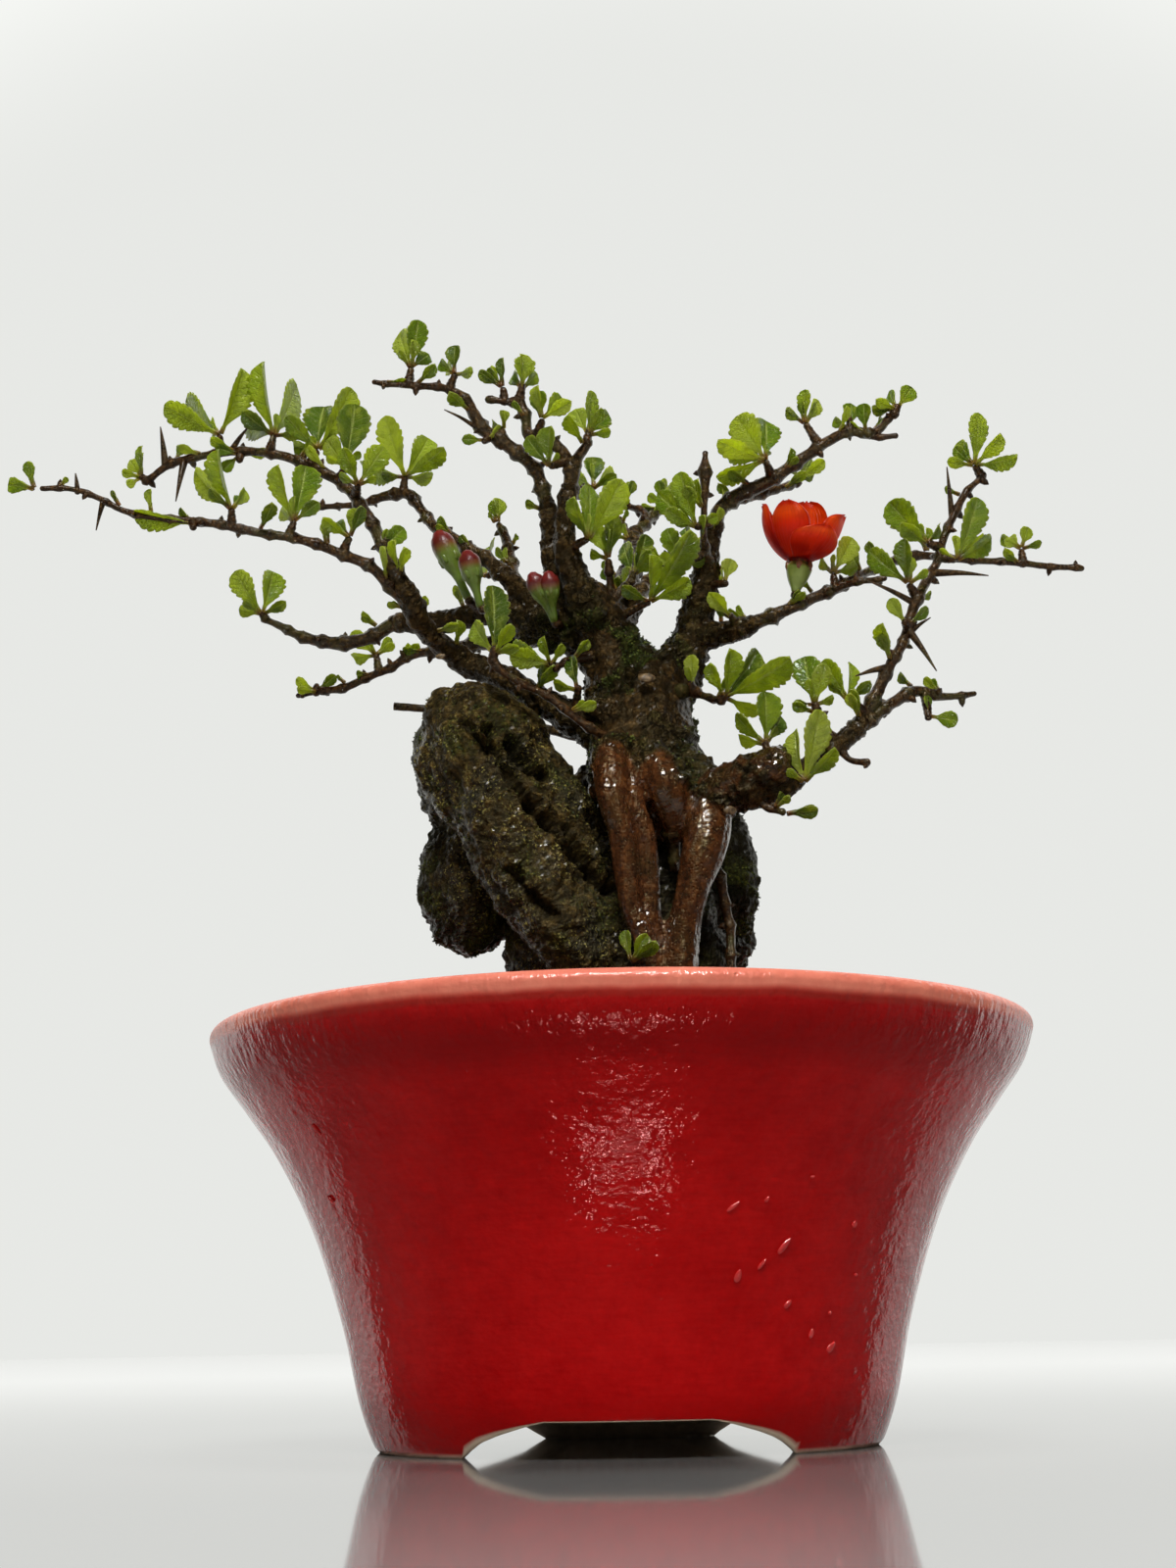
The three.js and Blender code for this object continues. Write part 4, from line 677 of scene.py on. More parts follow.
    "root_back": [[5, 2, 122, 5], [3, 12, 118, 3.6], [1, 19, 107, 2.6], [-1, 22, 92, 2.2], [-2, 22, 76, 2.1],
        [-3, 23, 62, 1.7]],
    "root_left": [[0, 0, 124, 4.2], [-9, 7, 120, 2.8], [-14, 16, 111, 2], [-16, 20, 98, 1.7],
        [-15, 20, 80, 1.6], [-15, 20, 63, 1.3]],
}

# Foot, point and thickness
THORNS = [
    [[-86.5, -7, 185.4], [-87.6, -7.5, 193.2], 0.8], [[-82.8, -7.5, 185.6], [-83.7, -9.5, 176.8], 0.8],
    [[-73.4, -9, 187], [-69.6, -12, 190.8], 0.7], [[-99.6, -22, 174], [-100, -22.5, 177.6], 0.6],
    [[-94.9, -21.5, 172], [-95.8, -22, 166.4], 0.6], [[65, -13, 168], [64.5, -13.5, 178.6], 0.7],
    [[60.8, -14.5, 157], [70.2, -18, 155], 0.8], [[55, -17, 145], [59.4, -19, 136.4], 0.8],
    [[55.2, -16, 144.6], [59, -18, 147], 0.6], [[51, -18, 137.6], [44.4, -20, 135.4], 0.8],
    [[56.6, -16, 150.5], [47.6, -19, 154.2], 0.7], [[-26, -7, 192], [-31.8, -9, 194.8], 0.5],
    [[12, 46, 194], [17, 49, 196], 0.6], [[5.2, 30, 180], [11, 33, 178], 0.6],
]

# The foot of each rosette, then its leaves: lean, length and width as seen from the front, turn to the back
ROSETTES = {
    "leaves_l1b_tip": [[-107, -23, 174.4], [-75, 5.7, 3.5, 10], [-15, 4.5, 2.5, -30]],
    "leaves_l1b_d": [[-71, -19.5, 170.3], [-45, 11.8, 4.6, 10], [-15, 9.3, 3.6, -35], [20, 4, 2.4, 35]],
    "leaves_l1b_e": [[-59.8, -17, 168.6], [-20, 9, 3.2, -35], [12, 11.6, 5.6, 0], [-45, 5, 2.4, 35],
        [62, 5.5, 3.2, -25]],
    "leaves_l1b_f": [[-49.5, -15.5, 165.8], [20, 5.2, 4.4, -20], [-35, 5, 3, 25]],
    "leaves_l1_tip": [[-91.2, -6, 183.4], [-35, 5.3, 3.2, 15], [0, 5, 2.3, -35], [-120, 3.4, 2.2, 0]],
    "leaves_l1_a": [[-75.6, -9, 190], [-43, 13.6, 5.4, 25], [-68, 11.2, 4.5, -20], [22, 14, 4.2, -5]],
    "leaves_l1_c": [[-65, -10, 189.3], [-41, 12, 3.6, 40], [-12, 14, 4.4, -15], [18, 14.2, 3.8, 25],
        [-64, 6, 3, -38]],
    "leaves_l1_g": [[-56.2, -12.5, 185], [0, 11.3, 7, 20], [34, 13.2, 3.8, -12], [-48, 7.8, 4.2, -25],
        [-72, 5.6, 3, 25]],
    "leaves_l1_h": [[-50.4, -15, 180.6], [12, 11, 7.4, -20], [-36, 7, 5, 5]],
    "leaves_l1_i": [[-47.6, -17, 176], [38, 8.3, 5.4, -15], [-25, 5.4, 4, -45]],
    "leaves_e_j": [[-41.6, 12, 189], [-20, 11.6, 6.4, -25], [27, 11, 5.4, 15], [70, 9, 2.4, -30],
        [-66, 11, 2.4, 30]],
    "leaves_l2_k": [[-71.2, 18, 162.8], [-34, 9.6, 5, -20], [12, 10.6, 4.5, 15], [-72, 5.5, 3, 20],
        [70, 5.4, 2.3, -15]],
    "leaves_l3": [[-49, 29, 156.6], [-50, 6.5, 4, -20], [-85, 5.4, 2.8, 35], [40, 5, 2.6, 10]],
    "leaves_d": [[-24.4, 11, 167.6], [-45, 10.8, 5, 25], [-2, 10.6, 4.6, 40]],
    "leaves_s": [[-21.8, -20, 142], [2, 12.6, 6.3, -10], [-32, 8.2, 4, 20], [45, 5.2, 2.2, -40]],
    "leaves_arm": [[-11.8, -6.5, 143.2], [-60, 9.4, 3.6, 20], [-84, 7.4, 4.8, -25], [-20, 4.4, 2.2, -40]],
    "leaves_a_tip": [[-38.4, -9, 203.3], [-18, 9.6, 5.4, 15], [12, 8.8, 5, -20], [38, 5.6, 3.6, 30]],
    "leaves_a_b": [[-30, -8.5, 201.8], [0, 5.8, 3.8, -10], [-42, 5, 2.6, 25]],
    "leaves_c_tip": [[-20.2, -10.4, 198], [-35, 5.2, 3.2, 10], [-2, 4.6, 2.6, -35]],
    "leaves_c_b": [[-16.6, -9.4, 199.2], [6, 6.4, 4.8, -10], [38, 5.4, 2.2, 25], [-24, 5.2, 3, 35]],
    "leaves_b_top": [[-12.8, -10.6, 191.2], [-8, 5, 4.4, -20], [40, 6.4, 4.8, 15], [75, 5.6, 3.4, -35]],
    "leaves_b_right": [[-3.8, -9.2, 189.2], [-22, 7, 4.2, 15], [8, 8, 3.5, -20], [38, 7, 4, 20]],
    "leaves_b_mid": [[-10.9, -9.4, 182.4], [-38, 7.4, 3.5, -8], [0, 6.2, 3.5, -38]],
    "leaves_b_back": [[-3.4, 6.6, 183.6], [2, 7.2, 4.6, 5], [42, 7, 3.6, 30], [70, 5, 2.6, -25],
        [-44, 6, 3.4, 30]],
    "leaves_mid_1": [[-4.6, -9, 167.2], [4, 11.2, 5.4, 0], [38, 11.4, 5, -28], [-30, 6.4, 2.2, -45]],
    "leaves_mid_2": [[-0.4, -5.4, 164], [-20, 7, 4.2, -2], [14, 6.8, 4, -34]],
    "leaves_mid_3": [[4.4, -3.6, 162.2], [-14, 8, 4.3, 18], [22, 8, 4, -16], [52, 6, 3, 15]],
    "leaves_mid_4": [[6.8, -6, 155.2], [42, 12.8, 4.6, -38], [64, 9, 4, 0], [8, 6.4, 2.4, -50]],
    "leaves_k": [[12.2, 46.4, 196.6], [-15, 4.8, 3, -20], [25, 5, 3, 20], [70, 4.6, 2.8, 30],
        [-56, 4.6, 2.6, 25]],
    "leaves_k_2": [[3.3, 46.4, 197.4], [-22, 4.8, 3, -20], [18, 4.8, 2.8, 5], [-62, 4.6, 2.8, 25]],
    "leaves_r1_left": [[16.6, -10.6, 168.8], [-46, 10.4, 5, 5], [-20, 9.4, 5.2, -30], [-70, 6, 3, -30]],
    "leaves_r1_left_2": [[14.4, -7.4, 162.4], [-24, 7.6, 4.3, -15], [-62, 5.2, 3, 10]],
    "leaves_r1_up": [[30.4, -9.4, 182.2], [-33, 10, 7.4, -10], [6, 9.6, 6.6, 15], [-60, 8.8, 3, 30],
        [-86, 9, 2.3, -35], [-110, 9.8, 3, 10]],
    "leaves_r1b": [[38.6, 11.2, 187.4], [30, 6.6, 4.4, 20], [60, 6.2, 3, -15], [-16, 5, 3, 30]],
    "leaves_r1_m": [[38.7, -8.2, 190], [0, 6.4, 3.4, -15], [32, 6.4, 2.6, 15], [-45, 5.2, 2.2, 20]],
    "leaves_r1_end": [[56.2, -10.4, 192.6], [38, 5, 4, -15], [-14, 4.8, 2.2, 20]],
    "leaves_r2_f": [[42.4, -9.4, 158.6], [32, 7.8, 5.2, -8], [68, 5.6, 2.6, 25]],
    "leaves_r3_a": [[60, -15.4, 162.4], [-42, 10.4, 6.6, -10], [-72, 5.4, 2.6, -45]],
    "leaves_r3_b": [[64.4, -15, 159.4], [24, 11, 4.8, -25], [58, 9, 4, 15]],
    "leaves_r2_e": [[82.4, 11, 170.2], [20, 4.4, 3.8, -15], [-30, 3.8, 3, 30], [-70, 3.6, 2.4, -20]],
    "leaves_r3_d": [[55.6, -17.8, 153.4], [-46, 10, 4.4, 8], [-12, 6.6, 3, -40]],
    "leaves_r3_tip": [[70.2, -12.4, 178.8], [8, 9.8, 5.2, -15], [-26, 6.4, 3.4, 20], [80, 9, 2.4, 10],
        [52, 6, 2.8, -40]],
    "leaves_t": [[20.6, -17, 132.9], [-32, 6, 2.2, -30], [12, 6.8, 4, -45], [38, 11.4, 4, 5],
        [73, 12.2, 3.7, -34], [112, 7.3, 2.3, 20]],
    "leaves_h": [[36.7, -20.3, 130.2], [-10, 9.8, 6.2, 5], [14, 6, 4.4, -40], [-88, 4, 2.2, 0]],
    "leaves_h_2": [[43.3, -20, 130.6], [-34, 8, 4, -20], [10, 7.6, 2.6, 10], [60, 4.4, 2.4, -35]],
    "leaves_st_1": [[27.4, -21, 122.6], [3, 9.4, 5.9, -10], [32, 6.8, 3.4, 20], [-44, 8, 2.5, 10]],
    "leaves_st_2": [[33.4, -23.3, 115.2], [17, 13, 6.3, -12], [-9, 10.4, 3, 12], [54, 7, 2.3, -35]],
    "leaves_sprout": [[2.6, -23.4, 83], [-12, 5.6, 2.8, 0], [34, 5, 3.4, -25]],
}

# Single leaves and sprouts, in the same form; the second list is too small for the solid model
SMALL_LEAVES = [
    [[-78, -20.4, 167.2], [-84, 11.2, 3.2, -8]],
    [[-43.6, -13, 164.4], [48, 6.4, 4, -10]],
    [[-22.6, 14.2, 180.6], [4, 5.4, 4, 0]],
    [[-6.6, -7.4, 138], [-12, 7, 3.3, 0]],
    [[-24, -7.8, 188.6], [-95, 4.4, 2.5, -20]],
    [[22, -5.4, 159], [18, 5, 3.5, -10]],
    [[22.6, -8, 151.6], [-50, 5.4, 3.6, -35]],
    [[46.9, -9.2, 190.6], [5, 5.4, 4.2, 0]],
    [[54.2, -18.6, 146], [-34, 5.8, 2.8, -10]],
    [[14.6, -11.8, 137], [-4, 6.2, 3.2, -20]],
    [[57.9, -15.8, 128.4], [104, 5.4, 3.6, -10]],
]

TINY_LEAVES = [
    [[-71.4, -10.4, 184.8], [-80, 4.6, 2.4, -20], [-130, 4.6, 2.8, 10]],
    [[-62, 33.6, 152.2], [-58, 5.2, 2.5, 0]],
    [[-20.4, -6.3, 192.2], [2, 4.2, 2.4, 0]],
    [[2.2, 38.4, 189.6], [-20, 4.6, 2.8, 0]],
    [[50.2, -10.6, 186.8], [-5, 5.4, 3.5, -20]],
    [[31, -21.2, 109.6], [90, 5.8, 2.4, -10]],
    [[16.8, 23.4, 178.4], [-10, 5, 3, 30]],
]

# Buds: foot, top and widest radius
BUDS = {
    "bud_left_high": ([-28, 2.6, 159.6], [-34, 2.4, 173.6], 2.4),
    "bud_left_low": ([-25.4, -0.6, 156.6], [-28, -2.4, 167.6], 2.2),
}
BUD_PAIR = {"foot": [-11, -2.8, 152.6], "tops": ([-15.2, -6.4, 161.4], [-12, -7.4, 161.2]), "radius": 1.9}
FLOWER = {"base": (35.8, -10, 161.6), "lean": 5, "height": 10.4, "radius": 7.9, "petals": 5}
CALYX_FOOT = [34.9, -10, 155]
BUD_FEET = [foot for foot, _, _ in BUDS.values()] + [BUD_PAIR["foot"], CALYX_FOOT]

# The rock's lobes: middle, half sizes across, deep and along, and lean
LOBES = [
    ((-18, -11, 109), (10, 9, 31), -27),
    ((-24.5, -9, 124), (12.5, 8.5, 14.5), -10),
    ((-12, -7.5, 116.5), (6.2, 8, 22), -31),
    ((-6.5, -9.5, 102), (5, 6, 19), -24),
    ((0, 3, 89), (20.5, 16, 32), 0),
    ((-29, 2.5, 125), (9.8, 9.5, 13.5), -8),
    ((-25.5, 6, 105.5), (11.5, 11, 15), 12),
    ((14.5, 11, 105), (12.4, 12.5, 23.5), -6),
    ((2, 2, 71), (20, 18, 20), 0),
]

# Cracks down the front of the rock: half width, depth, and the line across and up
FISSURES = [
    (1.7, 2.6, [(-19.2, 125.6), (-17.8, 123.4), (-15.8, 121.2), (-13.3, 119.1)]),
    (1.6, 2.4, [(-23.1, 127.3), (-22.4, 124), (-20.6, 120.6), (-17.9, 116.3), (-15.2, 112.5)]),
    (2.0, 3.0, [(-15.2, 112.5), (-11.6, 109.2), (-8.9, 106.3), (-6.3, 103.5), (-3.2, 99.7), (-1, 97.4)]),
    (1.3, 1.6, [(-27.4, 128.9), (-25.6, 126), (-22.9, 122.6)]),
    (1.4, 2.2, [(-4.8, 111.8), (-3, 108.1), (-2.2, 104.8)]),
    (1.8, 1.6, [(-19.4, 100.5), (-15.4, 95.4), (-11.8, 92.1)]),
]

# The flower's petals: turn about its axis, and shares of its height, radius and full width
PETALS = [(168, 1.1, 1.0, 0.8), (74, 1.34, 0.7, 0.9), (-16, 0.84, 1.01, 0.84), (-58, 0.46, 1.02, 0.98),
          (-120, 0.96, 0.88, 0.76)]

# Cuts and scars of old twigs: middle, radius and the way that each faces
SCARS = [((-32.3, -12.5, 143.3), 1.0, (-0.2, -1, 0.15)), ((6.3, -12.5, 138.2), 1.7, (0.1, -1, 0.3)),
         ((20.6, -20.2, 110.6), 1.4, (0.5, -1, -0.1))]


# Wood

STOUT = 1.8  # limbs are one grown-together skin down to this radius, and twigs below it
SKIN_GRAIN = 0.56  # edge of the skin's faces
SKIN_SEED = 4
SKIN_SOFTENED = 4  # rounds of smoothing
LIMB_SIDES = 16
BURR_GIRTH = 2.2  # limbs thicker than this carry burrs
BURR_CHANCE = 0.45
# Across and up: the edge where the trunk's rough bark ends over the bare roots
COLLAR = np.array([(-9, 117), (-5, 119), (-2, 123.5), (1.5, 123.5), (4, 118), (6.2, 121), (8.6, 122),
                   (11.2, 118.5), (13, 115.5), (16, 112.5), (20, 111)], dtype=float).T
BARE = {"limb_r3": 0.75}  # limbs that have lost their rough bark, and how far


def is_root(name):
    return name.startswith("root")


LIMBS = {name: soft_curve(path, 0.7) for name, path in WOOD.items()}
WOOD_SAMPLES = np.vstack(list(LIMBS.values()))


def nearest_wood(point):
    """The middle of the wood nearest to a point, its radius there, and how far off its bark is"""
    away = np.linalg.norm(WOOD_SAMPLES[:, :3] - np.asarray(point[:3]), axis=1) - WOOD_SAMPLES[:, 3]
    nearest = int(np.argmin(away))
    return WOOD_SAMPLES[nearest, :3], WOOD_SAMPLES[nearest, 3], away[nearest]


class Batch:
    """Corners, faces and marks of many small shapes that make one piece"""

    def __init__(self, *marks):
        self.points = []
        self.faces = []
        self.count = 0
        self.marks = {name: [] for name in marks}

    def add(self, points, faces, **marks):
        self.faces.extend(tuple(corner + self.count for corner in face) for face in faces)
        self.points.append(np.asarray(points)[:, :3])
        self.count += len(points)
        for name, value in marks.items():
            self.marks[name].append(np.broadcast_to(np.asarray(value, dtype=float), len(points)))

    def piece(self, name, finish):
        made = make_object(name, np.vstack(self.points), self.faces, finish)
        for mark_name, values in self.marks.items():
            mark(made.data, mark_name, np.concatenate(values))
        return made


def frames_along(samples):
    """Directions along a path, and two across it that turn as little as they can"""
    along = unit(np.gradient(samples[:, :3], axis=0))
    normal = np.array([0.0, 0.0, 1.0]) if abs(along[0][2]) < 0.9 else np.array([1.0, 0.0, 0.0])
    normals = []
    for direction in along:
        normal = unit(normal - direction * normal.dot(direction))
        normals.append(normal)
    normals = np.array(normals)
    return along, normals, np.cross(along, normals)


ROUND_END = [(0.5, 0.7), (0.75, 0.12)]  # offset and radius of an end's two rings, as shares of its radius
CUT_END = [(0.06, 0.9), (0.08, 0.1)]


def tube(samples, sides, relief=None, ending=ROUND_END):
    """A skin round a path of points and radii, closed at both ends"""
    samples = np.asarray(samples, dtype=float)
    along, normals, across = frames_along(samples)
    first, last = samples[0], samples[-1]
    start = [[*(first[:3] - along[0] * first[3] * offset), first[3] * part]
             for offset, part in ROUND_END[::-1]]
    end = [[*(last[:3] + along[-1] * last[3] * offset), last[3] * part] for offset, part in ending]
    path = np.vstack([start, samples, end])
    normals = np.vstack([normals[:1], normals[:1], normals, normals[-1:], normals[-1:]])
    across = np.vstack([across[:1], across[:1], across, across[-1:], across[-1:]])
    angles = np.linspace(0, 2 * math.pi, sides, endpoint=False)
    ring = np.cos(angles)[None, :, None] * normals[:, None] + np.sin(angles)[None, :, None] * across[:, None]
    radii = np.repeat(path[:, 3:4], sides, axis=1)
    if relief is not None:
        radii = radii * (1 + relief(path, angles))
    points = (path[:, None, :3] + ring * radii[:, :, None]).reshape(-1, 3)
    faces = []
    for k in range(len(path) - 1):
        for i in range(sides):
            j = (i + 1) % sides
            faces.append((k * sides + i, k * sides + j, (k + 1) * sides + j, (k + 1) * sides + i))
    top = (len(path) - 1) * sides
    faces.append(tuple(range(sides))[::-1])
    faces.append(tuple(top + i for i in range(sides)))
    return points, faces


def ball(centre, radius, squash=1.0):
    """A small round knot"""
    shape = bmesh.new()
    bmesh.ops.create_icosphere(shape, subdivisions=2, radius=radius)
    points = np.array([v.co[:] for v in shape.verts]) * (1, 1, squash) + np.asarray(centre)
    faces = [tuple(v.index for v in face.verts) for face in shape.faces]
    shape.free()
    return points, faces


def stout_part(samples):
    stout = np.flatnonzero(samples[:, 3] >= STOUT)
    return samples[:stout[-1] + 2] if len(stout) > 1 else None


def twig_part(samples):
    """The thin end of a limb, from a little inside its stout part"""
    thin = np.flatnonzero(samples[:, 3] < STOUT)
    if not len(thin):
        return None
    stout = np.flatnonzero(samples[:, 3] >= STOUT)
    start = max(stout[-1] - 4, 0) if len(stout) else 0
    part = samples[start:]
    return part if len(part) > 2 else None


def knots_on(samples, chooser):
    """Burrs that stand out of a stout limb"""
    _, normals, across = frames_along(samples)
    for k in range(0, len(samples), 2):
        radius = samples[k, 3]
        if radius > BURR_GIRTH and chooser.random() < BURR_CHANCE:
            angle = chooser.uniform(0, 2 * math.pi)
            outward = math.cos(angle) * normals[k] + math.sin(angle) * across[k]
            size = radius * chooser.uniform(0.22, 0.42)
            yield samples[k, :3] + outward * (radius - 0.35 * size), size


def make_wood_skin():
    """Trunk, roots and stout limbs, grown into one another"""
    chooser = random.Random(SKIN_SEED)
    batch = Batch()
    for name, samples in LIMBS.items():
        part = stout_part(samples)
        if part is None:
            continue
        batch.add(*tube(part, LIMB_SIDES))
        if not is_root(name):
            for centre, size in knots_on(part, chooser):
                batch.add(*ball(centre, size))
    skin = batch.piece("trunk_and_roots", wet_bark())
    grown = skin.modifiers.new("grown_together", "REMESH")
    grown.mode = "VOXEL"
    grown.voxel_size = SKIN_GRAIN * MM
    softened = skin.modifiers.new("softened", "SMOOTH")
    softened.factor = 0.5
    softened.iterations = SKIN_SOFTENED
    settle(skin)
    weather_skin(skin.data)
    dress(skin, "quince_bark", "tree")
    return skin


def weather_skin(mesh):
    """Bark relief: lumps on the trunk, long smooth ridges on the roots, and where each is"""
    tree = KDTree(len(WOOD_SAMPLES))
    rooted = []
    bare = []
    lengthwise = []
    frames = []
    for name, samples in LIMBS.items():
        _, normals, across = frames_along(samples)
        steps = np.linalg.norm(np.diff(samples[:, :3], axis=0), axis=1)
        lengthwise.extend(np.concatenate([[0], np.cumsum(steps)]))
        frames.extend(zip(normals, across))
        rooted.extend([is_root(name)] * len(samples))
        bare.extend([BARE.get(name, 0)] * len(samples))
    for k, sample in enumerate(WOOD_SAMPLES):
        tree.insert(sample[:3], k)
    tree.balance()
    points = in_millimetres(mesh)
    normals = normals_of(mesh)
    girth = np.empty(len(points))
    root = np.empty(len(points))
    peeled = np.empty(len(points))
    ridges = np.empty(len(points))
    for i, point in enumerate(points):
        _, k, _ = min(tree.find_n(point, 4), key=lambda found: found[2] - 0.8 * WOOD_SAMPLES[found[1], 3])
        girth[i] = WOOD_SAMPLES[k, 3]
        root[i] = rooted[k]
        peeled[i] = bare[k]
        out = point - WOOD_SAMPLES[k, :3]
        normal, across = frames[k]
        angle = math.atan2(out.dot(across), out.dot(normal))
        spot = Vector((2.3 * math.cos(angle), 2.3 * math.sin(angle), lengthwise[k] / 11 + k * 0.001))
        ridges[i] = noise.fractal(spot, 0.8, 2.2, 3)
    big = rough(points, 4.2, 1)
    mid = rough(points, 1.7, 2)
    small = rough(points, 0.8, 3, 2)
    knobs = np.abs(rough(points, 3.6, 4, 2))
    beads = np.abs(rough(points, 1.6, 6, 2))
    above = points[:, 2] - np.interp(points[:, 0], *COLLAR) + 2 * big + 1.2 * mid
    root *= smooth_step(0.9, -0.9, above)
    root = np.maximum(root, peeled * smooth_step(-0.5, 0.1, mid + big))
    stout = smooth_step(1.5, 7, girth)
    barky = (0.18 + 0.5 * stout) * big + 0.2 * mid + 0.12 * small
    barky += (0.5 + 2.2 * stout) * (knobs - 0.22) + (0.3 + 0.7 * stout) * (beads - 0.22)
    barky += 0.9 * smooth_step(9, 0, above) * stout
    smooth = 0.22 * ridges + 0.05 * mid + 0.04 * small
    lift = barky * (1 - root) + smooth * root
    move_corners(mesh, points + normals * lift[:, None])
    mark(mesh, "girth", girth)
    mark(mesh, "root", root)
    # painted shade: the hollows of the bark and the creases between its knobs and beads, to be painted near
    # black by the bark's finish
    creases = np.maximum(smooth_step(0.10, 0.02, knobs), 0.6 * smooth_step(0.07, 0.01, beads))
    mark(mesh, "hollow", np.maximum(smooth_step(0.15, -0.4, mid + 0.6 * big) * 0.7, creases) * (1 - root))
    upward = normals[:, 2]
    mossy = rough(points, 9, 5)
    moss = smooth_step(-0.1, 0.5, mossy + 0.35 * upward + 0.25) * (1 - root) * smooth_step(3.2, 5.5, girth)
    moss *= smooth_step(106, 114, points[:, 2]) * smooth_step(20, 14, points[:, 0])
    mark(mesh, "moss", moss)


def wet_bark():
    finish = Finish("wet_bark")
    girth = finish.marked("girth")
    root = finish.marked("root")
    hollow = finish.marked("hollow")
    moss = finish.marked("moss")
    patch = finish.noise(7, 4)
    grain = finish.noise(1.3, 5, 0.65)
    speck = finish.noise(0.5, 3)
    pores = finish.noise(0.36, 2)
    bark = finish.ramp(grain, (0.34, colour(6, 5, 1)), (0.5, colour(23, 18, 6)), (0.68, colour(62, 50, 22)))
    young = finish.ramp(grain, (0.32, colour(16, 9, 4)), (0.52, colour(46, 31, 13)),
                        (0.72, colour(98, 74, 38)))
    bark = finish.blend(girth.between(1.4, 4.8), young, bark)
    lichen = patch.between(0.55, 0.66) * speck.between(0.45, 0.6) * girth.between(1.6, 3.4)
    bark = finish.blend(lichen * 0.35, bark, colour(112, 104, 58))
    green = finish.ramp(speck, (0.35, colour(12, 18, 5)), (0.6, colour(46, 60, 14)),
                        (0.8, colour(104, 112, 34)))
    bark = finish.blend(moss * speck.between(0.3, 0.5) * 0.8, bark, green)
    rootwood = finish.ramp(grain, (0.3, colour(34, 15, 6)), (0.5, colour(66, 34, 14)),
                           (0.7, colour(104, 62, 30)))
    rootwood = finish.blend(patch.between(0.46, 0.64) * 0.6, rootwood, colour(44, 29, 9))
    rootwood = finish.blend(speck.between(0.44, 0.32) * 0.6, rootwood, colour(18, 8, 3))
    base = finish.blend(root, bark, rootwood)
    # painted shade: hollows and creases near black
    base = finish.blend(hollow * 0.85, base, colour(5, 4, 2))
    rings = finish.noise(0.7, 3, where=finish.stretched(0.35, 0.35, 1.6))
    pitted = finish.cells(0.8).between(0.0, 0.4)
    relief = grain * (0.6 - root * 0.45) + speck * (0.3 - root * 0.15) + pitted * (0.1 + 0.2 * root)
    relief += rings * root * 0.16
    relief += pores * 0.1
    normal = finish.bump(relief, 0.7)
    soaked = patch.between(0.34, 0.56)
    roughness = 0.5 - 0.12 * root - 0.28 * soaked + moss * 0.3
    wet = (0.07 + 0.6 * root) * (1 - moss * 0.8) * soaked
    shader = finish.surface(Base_Color=base, Roughness=roughness, Normal=normal, Specular_IOR_Level=0.22,
                            Specular_Tint=(1.0, 0.76, 0.36, 1), Coat_Weight=wet, Coat_Roughness=0.1)
    return finish.done(shader)


TWIG_SIDES = 10
CUT_ROD = "cut_rod"
NODE_EVERY = (3.6, 6.4)


def node_places(length, chooser):
    places = [chooser.uniform(1, 3)]
    while places[-1] < length:
        places.append(places[-1] + chooser.uniform(*NODE_EVERY))
    return np.array(places)


def knobbly(samples, chooser):
    """A twig that bends a little at its swollen nodes"""
    samples = samples.copy()
    steps = np.linalg.norm(np.diff(samples[:, :3], axis=0), axis=1)
    run = np.concatenate([[0], np.cumsum(steps)])
    nodes = node_places(run[-1], chooser)
    nearest = np.abs(run[:, None] - nodes[None]).min(axis=1)
    shift = np.array([[chooser.uniform(-1, 1) for _ in range(3)] for _ in nodes]) * 0.32
    for axis in range(3):
        samples[:, axis] += np.interp(run, nodes, shift[:, axis]) * smooth_step(0, 3, run)
    samples[:, 3] = np.maximum(samples[:, 3], 0.5) * (0.84 + 0.36 * np.exp(-(nearest / 0.75) ** 2))
    return samples, nodes, run


def bark_relief(seed):
    def relief(path, angles):
        lumps = np.empty((len(path), len(angles)))
        for k, sample in enumerate(path):
            for i, angle in enumerate(angles):
                around = Vector((1.5 * math.cos(angle) + seed, 1.5 * math.sin(angle), 0))
                spot = around + Vector(sample[:3]) * 0.9
                lumps[k, i] = noise.noise(spot)
        return 0.16 * lumps
    return relief


PLAIN = {"root": 0, "hollow": 0, "moss": 0}
TWIG_SEED = 11


def grow_twigs(batch, chooser):
    """The thin part of each limb, with its nodes and side buds"""
    for seed, (name, samples) in enumerate(LIMBS.items()):
        part = twig_part(samples)
        if part is None:
            continue
        if name == CUT_ROD:
            batch.add(*tube(part, TWIG_SIDES, bark_relief(seed), CUT_END), girth=1.5, young=0, **PLAIN)
            continue
        part, nodes, run = knobbly(part, chooser)
        points, faces = tube(part, TWIG_SIDES, bark_relief(seed))
        young = smooth_step(1.6, 0.8, part[:, 3])
        rings = np.concatenate([[young[0]] * 2, young, [young[-1]] * 2])
        batch.add(points, faces, girth=part[:, 3].mean(), young=np.repeat(rings, TWIG_SIDES), **PLAIN)
        _, normals, across = frames_along(part)
        for node in nodes[1:-1]:
            k = int(np.argmin(np.abs(run - node)))
            angle = chooser.uniform(0, 2 * math.pi)
            outward = math.cos(angle) * normals[k] + math.sin(angle) * across[k]
            foot = part[k, :3] + outward * part[k, 3] * 0.7
            size = chooser.uniform(0.45, 0.8)
            bud = [[*foot, size], [*(foot + outward * size * 1.1), size * 0.75],
                   [*(foot + outward * size * 1.9), 0.15]]
            batch.add(*tube(np.array(bud), 7), girth=1, young=1, **PLAIN)


